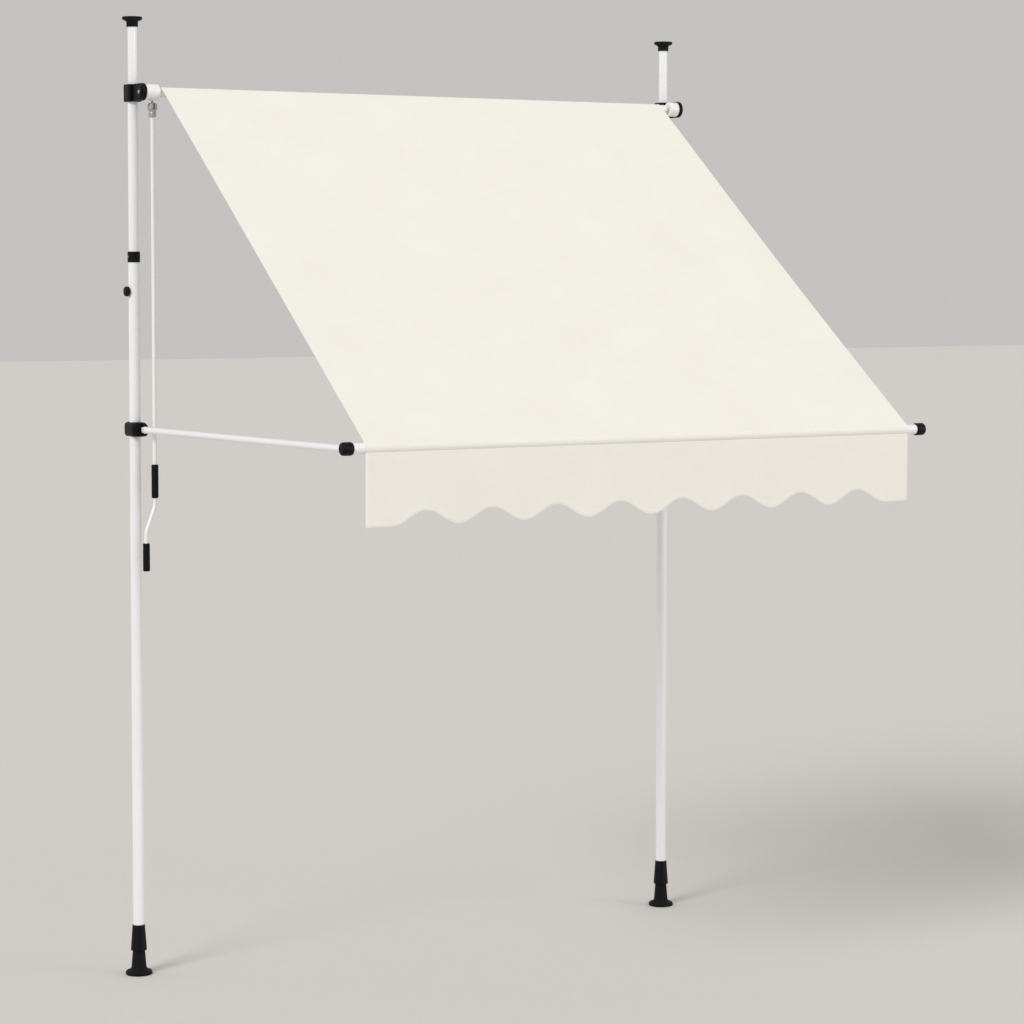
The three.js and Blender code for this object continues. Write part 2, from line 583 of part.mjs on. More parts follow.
/** Valance outline in X and height below the bar axis, with a scalloped lower edge. */
function valanceOutline() {
  const half = CLOTH_WIDTH / 2;
  const swing = (VALANCE_LOBE - VALANCE_NOTCH) / 2;
  const middle = (VALANCE_LOBE + VALANCE_NOTCH) / 2;
  const lastNotch = (NOTCHES - 1) / 2 * SCALLOP;
  const shape = new THREE.Shape();
  shape.moveTo(-half, -VALANCE_TOP);
  shape.lineTo(-half, -VALANCE_LOBE);
  const stepsEach = 10;
  for (let i = 0; i <= NOTCHES * stepsEach; i += 1) {
    const x = -lastNotch - SCALLOP / 2 + i * SCALLOP / stepsEach;
    shape.lineTo(x, -middle + swing * Math.cos((x - lastNotch) * Math.PI * 2 / SCALLOP));
  }
  shape.lineTo(half, -VALANCE_LOBE);
  shape.lineTo(half, -VALANCE_TOP);
  return shape;
}
const valance = new THREE.ExtrudeGeometry(valanceOutline(), { depth: CLOTH_THICK, bevelEnabled: false });
valance.rotateX(Math.PI / 2).translate(0, BAR_Y - VALANCE_SETBACK, BAR_Z);
addPiece('valance', valance, CANVAS);

export default awning;
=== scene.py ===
"""Clamp awning: the visible pieces, their finishes, the studio and the camera.

X runs across the awning, -Y to the front, Z up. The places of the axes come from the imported
frame, in metres; the dimensions held by the classes below, and the profiles and outlines of the
pieces, are millimetres.
"""
from __future__ import annotations

import json
import logging
import math
from dataclasses import dataclass, field
from enum import Enum
from typing import Callable, Sequence

import bmesh
import bpy
from mathutils import Matrix, Vector


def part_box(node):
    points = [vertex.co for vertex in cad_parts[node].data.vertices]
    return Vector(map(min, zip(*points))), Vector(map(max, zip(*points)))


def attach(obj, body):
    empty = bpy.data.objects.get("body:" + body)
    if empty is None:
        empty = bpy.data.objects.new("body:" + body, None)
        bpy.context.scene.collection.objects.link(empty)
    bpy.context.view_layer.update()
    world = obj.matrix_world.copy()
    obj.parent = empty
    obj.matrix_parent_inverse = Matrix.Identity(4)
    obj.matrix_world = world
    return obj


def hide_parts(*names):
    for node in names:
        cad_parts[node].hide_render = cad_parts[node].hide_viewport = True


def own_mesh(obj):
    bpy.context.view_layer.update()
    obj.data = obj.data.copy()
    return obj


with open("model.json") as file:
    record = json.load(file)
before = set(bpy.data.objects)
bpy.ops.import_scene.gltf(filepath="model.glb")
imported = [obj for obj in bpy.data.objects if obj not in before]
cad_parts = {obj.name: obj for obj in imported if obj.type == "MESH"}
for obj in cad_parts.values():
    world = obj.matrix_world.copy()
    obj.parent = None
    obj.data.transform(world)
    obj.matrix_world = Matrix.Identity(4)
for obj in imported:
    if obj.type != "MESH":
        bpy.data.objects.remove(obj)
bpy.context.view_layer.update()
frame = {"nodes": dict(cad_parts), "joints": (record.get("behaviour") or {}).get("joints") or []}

LOG = logging.getLogger("awning")
MM = 0.001
ACROSS = Vector((1, 0, 0))
Point2 = tuple[float, float]
Point3 = tuple[float, float, float]
Object = bpy.types.Object
Tree = bpy.types.NodeTree
Socket = bpy.types.NodeSocket


class Side(Enum):
    """The two poles, with the sign of their X."""

    LEFT = -1
    RIGHT = 1

    @property
    def word(self) -> str:
        """Prefix of the pole's node names."""
        return self.name.lower()


class Axis(Enum):
    """Rotation that lays a piece made about Z along an axis."""

    X = Matrix(((0, 0, 1), (1, 0, 0), (0, 1, 0))).freeze()
    Z = Matrix.Identity(3).freeze()


# ---- places taken from the frame ---------------------------------------------------------
def centre(node: str) -> Vector:
    """Middle of a node's box at rest."""
    low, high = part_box(node)
    return (low + high) / 2


@dataclass(frozen=True)
class Places:
    """Axes and planes shared by several sub-assemblies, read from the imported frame."""

    pole: Vector = field(default_factory=lambda: centre("right_lower_tube"))
    roller: Vector = field(default_factory=lambda: centre("roller_tube"))
    bar: Vector = field(default_factory=lambda: centre("front_bar"))
    pivot: Vector = field(default_factory=lambda: centre("right_pivot_bolt"))
    handle: Vector = field(default_factory=lambda: centre("crank_grip_lower"))
    joint: Vector = field(default_factory=lambda: centre("joint_pin"))

    def from_pole(self, place: Vector, x: float = 0.0) -> Vector:
        """A place in millimetres, X being given and Y counted from the pole axes."""
        return Vector((x, (place.y - self.pole.y) / MM, place.z / MM))


# ---- colour and nodes --------------------------------------------------------------------
def linear(colour: str) -> tuple[float, float, float, float]:
    """Turns an sRGB hex colour into linear values.

    Args:
        colour: six hex digits, such as "F1F2F3".

    Returns:
        Red, green, blue and a full alpha, linear.
    """
    values = [int(colour[i:i + 2], 16) / 255 for i in (0, 2, 4)]
    bent = [v / 12.92 if v <= 0.04045 else ((v + 0.055) / 1.055) ** 2.4 for v in values]
    return bent[0], bent[1], bent[2], 1.0


def add_node(tree: Tree, kind: str, inputs: dict | None = None, **settings) -> bpy.types.Node:
    """Adds a shader node with its settings and links.

    Args:
        tree: node tree to add to.
        kind: the node's type name, without the leading "ShaderNode".
        inputs: socket name or number to a value, or to an output socket to link from.
        **settings: properties of the node itself.

    Returns:
        The new node.
    """
    node = tree.nodes.new("ShaderNode" + kind)
    for key, value in settings.items():
        setattr(node, key, value)
    for key, value in (inputs or {}).items():
        if isinstance(value, bpy.types.NodeSocket):
            tree.links.new(value, node.inputs[key])
        else:
            node.inputs[key].default_value = value
    return node


@dataclass(frozen=True)
class Noise:
    """Soft noise: size of a cell in metres, octaves of finer noise, factor on each axis."""

    size: float
    detail: float = 2.0
    stretch: Point3 = (1, 1, 1)

    def draw(self, tree: Tree, vector: Socket | None = None) -> Socket:
        """Adds the noise to a tree.

        Args:
            tree: node tree to add to.
            vector: coordinates in metres, or None for the piece's own.

        Returns:
            The noise, from 0 to 1.
        """
        source = vector or add_node(tree, "TexCoord").outputs["Object"]
        scaled = add_node(tree, "Mapping", {"Vector": source, "Scale": self.stretch})
        return add_node(tree, "TexNoise", {
            "Vector": scaled.outputs["Vector"], "Scale": 1 / self.size,
            "Detail": self.detail}).outputs["Fac"]


@dataclass(frozen=True)
class Finish:
    """Base of all finishes: one principled shader whose colour, gloss and relief are drawn.

    The colour runs between the two tones in the patches. The roughness runs over its range in
    the clouds, or in the patches where there are no clouds. The grain is the relief.
    """

    name: str
    slot: str                # material slot of the record
    colour: str
    roughness: float
    tones: tuple[str, str]
    patches: Noise
    gloss: Point2 | None = None
    clouds: Noise | None = None
    grain: Noise | None = None
    depth: float = 0.1 * MM  # full height of the relief
    strength: float = 0.6
    metallic: float = 0.0
    ior: float = 1.5
    coat: float = 0.0
    sheen: float = 0.0
    shine: float = 0.5

    def material(self) -> bpy.types.Material:
        """Builds the finish once and hands back the same material afterwards.

        Returns:
            The material.
        """
        made = bpy.data.materials.get(self.name)
        if made is not None:
            return made
        made = bpy.data.materials.new(self.name)
        made.use_nodes = True
        tree = made.node_tree
        tree.nodes.clear()
        inputs = {"Base Color": linear(self.colour), "Roughness": self.roughness,
                  "Metallic": self.metallic, "Coat Weight": self.coat,
                  "Sheen Weight": self.sheen}
        if self.metallic < 0.5:
            inputs |= {"IOR": self.ior, "Specular IOR Level": self.shine}
        if self.sheen > 0:
            inputs["Sheen Roughness"] = 0.6
        shader = add_node(tree, "BsdfPrincipled", inputs)
        add_node(tree, "OutputMaterial", {"Surface": shader.outputs["BSDF"]})
        for socket, source in self.draw(tree).items():
            tree.links.new(source, shader.inputs[socket])
        return made

    def draw(self, tree: Tree) -> dict[str, Socket]:
        """Draws colour, roughness and relief.

        Args:
            tree: node tree of the material.

        Returns:
            What feeds the shader, by the socket that it feeds.
        """
        factor, height = self.patterns(tree)
        first, second = (linear(tone) for tone in self.tones)
        mix = add_node(tree, "Mix", {0: factor, 6: first, 7: second}, data_type="RGBA")
        drawn = {"Base Color": mix.outputs[2]}
        if self.gloss:
            drawn["Roughness"] = add_node(tree, "MapRange", {
                "Value": self.clouds.draw(tree) if self.clouds else factor,
                "To Min": self.gloss[0], "To Max": self.gloss[1]}).outputs["Result"]
        if height:
            drawn["Normal"] = add_node(tree, "Bump", {
                "Height": height, "Distance": self.depth,
                "Strength": self.strength}).outputs["Normal"]
        return drawn

    def patterns(self, tree: Tree) -> tuple[Socket, Socket | None]:
        """Blend of the two tones and height of the relief, both from 0 to 1."""
        return self.patches.draw(tree), self.grain.draw(tree) if self.grain else None


# ---- finishes ----------------------------------------------------------------------------
@dataclass(frozen=True)
class PowderCoatedSteel(Finish):
    """White polyester powder coat on steel tube: satin, with a faint orange peel."""

    name: str = "white_powder_coated_steel"
    slot: str = "white_paint"
    colour: str = "F2F3F5"
    roughness: float = 0.32
    tones: tuple[str, str] = ("F5F6F8", "EDEEF0")
    patches: Noise = Noise(0.35, 3)
    gloss: Point2 = (0.27, 0.39)
    clouds: Noise = Noise(0.03, 3)
    grain: Noise = Noise(2.6 * MM)   # orange peel is 1 to 3 mm across
    depth: float = 0.05 * MM
    ior: float = 1.52
    coat: float = 0.15


@dataclass(frozen=True)
class MouldedNylon(Finish):
    """Black glass-filled nylon, injection moulded: satin, with a fine grain and a grey bloom."""

    name: str = "black_moulded_nylon"
    slot: str = "black_plastic"
    colour: str = "08080B"
    roughness: float = 0.44
    tones: tuple[str, str] = ("09090C", "101014")
    patches: Noise = Noise(0.02, 4)
    gloss: Point2 = (0.38, 0.56)
    grain: Noise = Noise(0.9 * MM, 3)   # real grain is 0.1 mm, drawn coarser so that it shows
    depth: float = 0.08 * MM
    strength: float = 0.7
    shine: float = 0.14


@dataclass(frozen=True)
class MouldedRubber(Finish):
    """Black compression-moulded rubber of the feet and pads: dull, with soft dusty patches."""

    name: str = "black_moulded_rubber"
    slot: str = "foot_rubber"
    colour: str = "101011"
    roughness: float = 0.7
    tones: tuple[str, str] = ("0B0B0C", "141416")
    patches: Noise = Noise(0.012, 5)
    gloss: Point2 = (0.6, 0.85)
    grain: Noise = Noise(1.3 * MM, 3)
    strength: float = 0.8
    sheen: float = 0.02
    shine: float = 0.14


@dataclass(frozen=True)
class MouldedAbs(Finish):
    """White ABS: half gloss with soft flow marks, a shade warmer than the painted tubes."""

    name: str = "white_moulded_abs"
    slot: str = "white_plastic"
    colour: str = "F1F0EE"
    roughness: float = 0.34
    tones: tuple[str, str] = ("F4F3F1", "ECEBE8")
    patches: Noise = Noise(0.015, 3)
    gloss: Point2 | None = (0.28, 0.42)
    grain: Noise = Noise(3 * MM)
    depth: float = 0.04 * MM
    strength: float = 0.5
    ior: float = 1.54


@dataclass(frozen=True)
class CreamPolyamide(MouldedAbs):
    """Cream polyamide of the roller's idler plug: cloudy, duller than the white mouldings."""

    name: str = "cream_moulded_polyamide"
    slot: str = "cream_plastic"
    colour: str = "E7E2D0"
    roughness: float = 0.5
    tones: tuple[str, str] = ("EAE5D4", "DED8C4")
    patches: Noise = Noise(0.008, 3)
    gloss: Point2 | None = None
    grain: Noise = Noise(1 * MM)
    depth: float = 0.05 * MM
    strength: float = 0.6


@dataclass(frozen=True)
class CastZinc(Finish):
    """Die-cast zinc alloy: dull grey metal, mottled by its crystals and lightly pitted."""

    name: str = "die_cast_zinc"
    slot: str = "zinc_casting"
    colour: str = "9B9DA1"
    roughness: float = 0.46
    tones: tuple[str, str] = ("9A9CA0", "C8CACD")
    patches: Noise = Noise(3 * MM, 5)
    gloss: Point2 = (0.36, 0.58)
    grain: Noise = Noise(1.4 * MM, 4)
    depth: float = 0.15 * MM
    strength: float = 0.8
    metallic: float = 0.9


@dataclass(frozen=True)
class ZincPlatedSteel(Finish):
    """Bright zinc plate on headed steel: streaks along the wire that it was headed from."""

    name: str = "bright_zinc_plated_steel"
    slot: str = "plated_steel"
    colour: str = "BFC2C6"
    roughness: float = 0.3
    tones: tuple[str, str] = ("AEB1B6", "CBCDD1")
    patches: Noise = Noise(0.6 * MM, 3, (0.15, 1, 1))
    gloss: Point2 = (0.22, 0.4)
    metallic: float = 1.0


@dataclass(frozen=True)
class AwningCanvas(Finish):
    """Cream solution-dyed polyester canvas in plain weave: matt, with a soft bloom at the edge."""

    name: str = "cream_awning_canvas"
    slot: str = "canvas"
    colour: str = "F3F1E8"
    roughness: float = 0.92
    tones: tuple[str, str] = ("EDEAE0", "F3F1E8")
    patches: Noise = Noise(0.22, 3)
    depth: float = 0.12 * MM
    strength: float = 0.55
    ior: float = 1.45
    sheen: float = 0.12
    thread: float = 1.5 * MM   # real threads lie 0.5 mm apart, drawn coarser so that they show

    def patterns(self, tree: Tree) -> tuple[Socket, Socket | None]:
        """Warp over weft in relief, thread-to-thread tone, slubs and a broad soft cloudiness.

        Args:
            tree: node tree of the material.

        Returns:
            Blend of the two tones and height of the relief.
        """
        cloth = add_node(tree, "UVMap", uv_map="cloth").outputs["UV"]
        split = add_node(tree, "SeparateXYZ", {"Vector": cloth}).outputs
        waves = []
        for word in ("X", "Y"):
            turn = add_node(tree, "Math", {0: split[word], 1: math.pi / self.thread},
                            operation="MULTIPLY")
            waves.append(add_node(tree, "Math", {0: turn.outputs[0]}, operation="SINE"))
        crossing = add_node(tree, "Math", {0: waves[0].outputs[0], 1: waves[1].outputs[0]},
                            operation="MULTIPLY")
        weave = add_node(tree, "Math", {0: crossing.outputs[0], 1: 0.5, 2: 1.0},
                         operation="MULTIPLY_ADD", use_clamp=True)
        warp, weft = (Noise(self.thread, 2, stretch).draw(tree, cloth)
                      for stretch in ((1, 0.02, 1), (0.02, 1, 1)))
        slubs = add_node(tree, "Math", {0: warp, 1: weft}, operation="ADD").outputs[0]
        cloud = self.patches.draw(tree, cloth)
        tone = add_node(tree, "Math", {0: slubs, 1: 0.9, 2: cloud}, operation="MULTIPLY_ADD")
        factor = add_node(tree, "MapRange", {
            "Value": tone.outputs[0], "From Min": 0.9, "From Max": 1.9, "To Min": -0.1,
            "To Max": 1.1})
        height = add_node(tree, "Math", {0: slubs, 1: 0.5, 2: weave.outputs[0]},
                          operation="MULTIPLY_ADD")
        return factor.outputs["Result"], height.outputs[0]


@dataclass(frozen=True)
class ValanceCanvas(AwningCanvas):
    """The same canvas on the valance."""

    name: str = "cream_valance_canvas"


@dataclass(frozen=True)
class BindingTape(AwningCanvas):
    """Twill tape folded over the edge of the valance: paler, with a finer thread."""

    name: str = "cream_binding_tape"
    colour: str = "F5F4ED"
    tones: tuple[str, str] = ("EFEDE4", "F5F4ED")
    thread: float = 1.0 * MM


@dataclass(frozen=True)
class SewingThread(Finish):
    """Bonded polyester thread: a little glossier than the canvas, with twist marks."""

    name: str = "cream_sewing_thread"
    slot: str = "canvas"
    colour: str = "E6E1D0"
    roughness: float = 0.6
    tones: tuple[str, str] = ("DDD7C4", "EEEADC")
    patches: Noise = Noise(0.8 * MM)
    grain: Noise = Noise(0.8 * MM)
    sheen: float = 0.1


# ---- mesh tools --------------------------------------------------------------------------
def shade(piece: Object, angle: float) -> None:
    """Shades a mesh smooth, with edges sharper than angle degrees left crisp."""
    piece.data.polygons.foreach_set("use_smooth", [True] * len(piece.data.polygons))
    piece.data.set_sharp_from_angle(angle=math.radians(angle))


def make_object(name: str, points: Sequence[Sequence[float]], faces: Sequence[Sequence[int]],
                angle: float = 32.0) -> Object:
    """Makes a mesh object whose faces all look outward.

    Args:
        name: name of the piece.
        points: corners, in metres.
        faces: corner numbers of each face of a closed body.
        angle: edges sharper than this, in degrees, stay crisp.

    Returns:
        The linked object.
    """
    mesh = bpy.data.meshes.new(name)
    mesh.from_pydata([tuple(p) for p in points], [], faces)
    mesh.validate()
    tidy = bmesh.new()
    tidy.from_mesh(mesh)
    bmesh.ops.recalc_face_normals(tidy, faces=tidy.faces)
    tidy.to_mesh(mesh)
    tidy.free()
    made = bpy.data.objects.new(name, mesh)
    bpy.context.scene.collection.objects.link(made)
    shade(made, angle)
    return made


def lay_flat(piece: Object, flats: Sequence[Point2]) -> Object:
    """Writes the map that the weave follows.

    Args:
        piece: the piece.
        flats: place of each corner on the flat cloth, in metres.

    Returns:
        The piece.
    """
    layer = piece.data.uv_layers.new(name="cloth")
    for loop in piece.data.loops:
        layer.data[loop.index].uv = flats[loop.vertex_index]
    return piece


def fillet(points: Sequence[Point2], radius: float | Sequence[float], arc: int = 4,
           closed: bool = False) -> list[Point2]:
    """Rounds the corners of a line or outline.

    Args:
        points: corners in order.
        radius: one radius for all corners, or one for each.
        arc: steps in each rounded corner.
        closed: whether the last corner joins the first.

    Returns:
        The line with its corners replaced by arcs.
    """
    count = len(points)
    radii = [radius] * count if isinstance(radius, (int, float)) else radius
    out: list[Point2] = []
    for i, point in enumerate(points):
        corner = Vector(point)
        before = Vector(points[i - 1]) - corner
        after = Vector(points[(i + 1) % count]) - corner
        plain = radii[i] <= 0 or (not closed and i in (0, count - 1))
        if plain or min(before.length, after.length) < 1e-9:
            out.append(point)
            continue
        half = before.angle(after) / 2
        if half > math.radians(88):
            out.append(point)
            continue
        back = min(radii[i] / math.tan(half), before.length * 0.49, after.length * 0.49)
        out += [tuple(p) for p in bend(corner + before.normalized() * back, corner,
                                       corner + after.normalized() * back, arc)]
    return out


def bend(start: Vector, corner: Vector, end: Vector, steps: int) -> list[Vector]:
    """Points of a curve from start to end that leans towards a corner."""
    shares = [k / steps for k in range(steps + 1)]
    return [start * (1 - t) ** 2 + corner * 2 * t * (1 - t) + end * t ** 2 for t in shares]


def revolve(name: str, profile: Sequence[Point2], radii: Sequence[float] | None = None,
            axis: Axis = Axis.Z, at: Sequence[float] = (0, 0, 0), steps: int = 96,
            arc: int = 4, wobble: Callable[[float, float], float] | None = None) -> Object:
    """Turned piece from a profile of radius and distance along the axis.

    Args:
        name: name of the piece.
        profile: points listed towards +axis on the outside; radius 0 closes an end, and a
            profile whose last point is its first makes an open ring or pipe.
        radii: rounding of each point of the profile.
        axis: axis of the turning.
        at: place in metres where the axis distance is counted from.
        steps: facets round the piece.
        arc: steps in each rounded corner.
        wobble: factor on the radius from the angle and the distance, for flutes.

    Returns:
        The piece.
    """
    rows = fillet(profile, radii, arc) if radii else list(profile)
    ring = math.dist(rows[0], rows[-1]) < 1e-9
    points: list[Vector] = []
    starts: list[tuple[int, int]] = []
    for r, z in rows[:-1] if ring else rows:
        starts.append((len(points), 1 if r < 1e-4 else steps))
        for k in range(starts[-1][1]):
            a = 2 * math.pi * k / steps
            reach = r * (wobble(a, z) if wobble else 1.0)
            spot = Vector((reach * math.cos(a), reach * math.sin(a), z))
            points.append(axis.value @ spot * MM + Vector(at))
    faces: list[tuple[int, ...]] = []
    for (low, a), (high, b) in zip(starts, starts[1:] + (starts[:1] if ring else [])):
        for k in range(steps):
            n = (k + 1) % steps
            corners = (low + k % a, low + n % a, high + n % b, high + k % b)
            faces.append(tuple(dict.fromkeys(corners)))
    return make_object(name, points, [face for face in faces if len(face) > 2])


def pipe(name: str, radius: float, wall: float, ends: Point2, soft: float,
         axis: Axis = Axis.Z, at: Sequence[float] = (0, 0, 0), steps: int = 96) -> Object:
    """Open tube with softly rounded cut ends.

    Args:
        name: name of the piece.
        radius: outer radius.
        wall: thickness of the wall.
        ends: distances along the axis where it starts and ends.
        soft: rounding of the cut edges.
        axis: axis of the tube.
        at: place in metres that the ends are counted from.
        steps: facets round the tube.

    Returns:
        The tube.
    """
    low, high = ends
    inner = radius - wall
    profile = [(inner, low), (radius, low), (radius, high), (inner, high), (inner, low)]
    return revolve(name, profile, [0, soft, soft, soft, 0], axis, at, steps, 3)


def loft(name: str, rings: Sequence[Sequence[Vector]], strip: bool = False,
         angle: float = 50.0) -> Object:
    """Skin over closed rings of equally many points, in metres, with capped ends.

    Args:
        name: name of the piece.
        rings: the rings in order.
        strip: whether a ring is a thin strip, there along one side and back along the other.
        angle: edges sharper than this, in degrees, stay crisp.

    Returns:
        The piece.
    """
    n, last = len(rings[0]), len(rings) - 1
    if strip:
        cap = [(k, k + 1, n - 2 - k, n - 1 - k) for k in range(n // 2 - 1)]
    else:
        cap = [tuple(range(n))]
    faces = [tuple(end * n + k for k in face) for end in (0, last) for face in cap]
    faces += [(i * n + k, i * n + (k + 1) % n, (i + 1) * n + (k + 1) % n, (i + 1) * n + k)
              for i in range(last) for k in range(n)]
    return make_object(name, [point for ring in rings for point in ring], faces, angle)


def prism(name: str, outline: Sequence[Point2], low: float, high: float, axis: Axis = Axis.Z,
          at: Sequence[float] = (0, 0, 0), rim: float = 0.0, arc: int = 6) -> Object:
    """Extrusion of a convex outline, with sharp or rounded rims.

    Args:
        name: name of the piece.
        outline: corners across the axis, anticlockwise.
        low: distance along the axis where it starts.
        high: distance where it ends.
        axis: axis of the extrusion.
        at: place in metres that all is counted from.
        rim: radius of the rounded rims.
        arc: steps in each rounded rim.

    Returns:
        The piece.
    """
    inward: list[Vector] = []
    for before, point, after in zip(outline[-1:] + outline, outline, outline[1:] + outline[:1]):
        a = (Vector(point) - Vector(before)).normalized()
        b = (Vector(after) - Vector(point)).normalized()
        mean = (Vector((-a.y, a.x)) + Vector((-b.y, b.x))).normalized()
        inward.append(mean / max(0.4, mean.dot(Vector((-a.y, a.x)))))
    turns = [math.pi / 2 * k / arc for k in range(arc + 1)] if rim else [math.pi / 2]
    rims = [(rim * (1 - math.sin(t)), low + rim * (1 - math.cos(t))) for t in turns]
    rims += [(inset, high + low - z) for inset, z in reversed(rims)]
    return loft(name, [[axis.value @ Vector((*(Vector(p) + n * inset), z)) * MM + Vector(at)
                        for p, n in zip(outline, inward)] for inset, z in rims], angle=32)


def circle(radius: float, steps: int = 32) -> list[Point2]:
    """Points round a circle, anticlockwise."""
    turns = [2 * math.pi * k / steps for k in range(steps)]
    return [(radius * math.cos(a), radius * math.sin(a)) for a in turns]


def rectangle(x0: float, y0: float, x1: float, y1: float, radius: float, arc: int = 6
              ) -> list[Point2]:
    """Rectangle with rounded corners, anticlockwise."""
    return fillet([(x0, y0), (x1, y0), (x1, y1), (x0, y1)], radius, arc, closed=True)


def tongue(back: float, radius: float, steps: int) -> list[Point2]:
    """Outline across X of a strip that ends in a half circle about 0.

    Args:
        back: where the strip starts, behind the half circle.
        radius: radius of the half circle and half the strip's height.
        steps: steps in the half circle.

    Returns:
        The outline, anticlockwise about X.
    """
    turns = [math.pi / 2 + math.pi * k / steps for k in range(steps + 1)]
    outline = [(back, -radius), (back, radius)]
    outline += [(radius * math.cos(a), radius * math.sin(a)) for a in turns]
    return [(y, -z) for y, z in reversed(outline)]


def carve(piece: Object, joined: Sequence[Object], cut: Sequence[Object], angle: float = 30.0
          ) -> Object:
    """Joins bodies to a piece, cuts others from it, and removes them all.

    Args:
        piece: piece that stays.
        joined: bodies to join.
        cut: bodies to cut away.
        angle: edges sharper than this, in degrees, stay crisp.

    Returns:
        The piece.
    """
    for operation, others in (("UNION", joined), ("DIFFERENCE", cut)):
        for other in others:
            modifier = piece.modifiers.new("combine", "BOOLEAN")
            modifier.operation, modifier.solver, modifier.object = operation, "EXACT", other
            graph = bpy.context.evaluated_depsgraph_get()
            mesh = bpy.data.meshes.new_from_object(piece.evaluated_get(graph))
            piece.modifiers.clear()
            piece.data = mesh
            bpy.data.objects.remove(other)
    shade(piece, angle)
    return piece


def dress(piece: Object, finish: Finish, body: str, *nodes: str, slot: str = "") -> Object:
    """Gives a piece its finish, its body and the nodes it stands for.

    Args:
        piece: the piece, in place.
        finish: finish of its surface.
        body: body that it moves with.
        *nodes: nodes that it replaces.
        slot: material slot, where it isn't the finish's own; not used.

    Returns:
        The piece.
    """
    piece.data.materials.clear()
    piece.data.materials.append(finish.material())
    slot or finish.slot
    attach(piece, body)
    if nodes:
        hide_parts(*nodes)
    LOG.info("%s: %d faces, %s, on %s", piece.name, len(piece.data.polygons), finish.name, body)
    return piece


def dress_node(node: str, finish: Finish) -> None:
    """Gives a node that is shown as it is its finish and smooth shading.

    Args:
        node: name of the node.
        finish: finish of its surface.
    """
    piece = frame["nodes"][node]
    piece.data.materials.clear()
    piece.data.materials.append(finish.material())
    shade(piece, 35)
    LOG.info("%s: kept, %s", node, finish.name)


WHITE = PowderCoatedSteel()
NYLON = MouldedNylon()
RUBBER = MouldedRubber()
ABS = MouldedAbs()
CREAM = CreamPolyamide()
ZINC = CastZinc()
STEEL = ZincPlatedSteel()
CANVAS = AwningCanvas()
VALANCE = ValanceCanvas()
TAPE = BindingTape()
THREAD = SewingThread()


# ---- sub-assemblies ----------------------------------------------------------------------
@dataclass
class Assembly:
    """Base of the sub-assemblies: the shared places, and the way to a pole."""

    places: Places

    def build(self) -> None:
        """Makes and dresses every piece."""
        raise NotImplementedError

    def to_pole(self, piece: Object, side: Side) -> Object:
        """Carries a piece made about the left pole's axis, +X inboard, to a pole.

        Args:
            piece: the piece.
            side: the pole; on the right one the piece is mirrored.

        Returns:
            The piece, in place.
        """
        if side is Side.RIGHT:
            piece.data.transform(Matrix.Scale(-1, 4, ACROSS))
            piece.data.flip_normals()
        spot = (side.value * self.places.pole.x, self.places.pole.y, 0)
        piece.data.transform(Matrix.Translation(spot))
        return piece


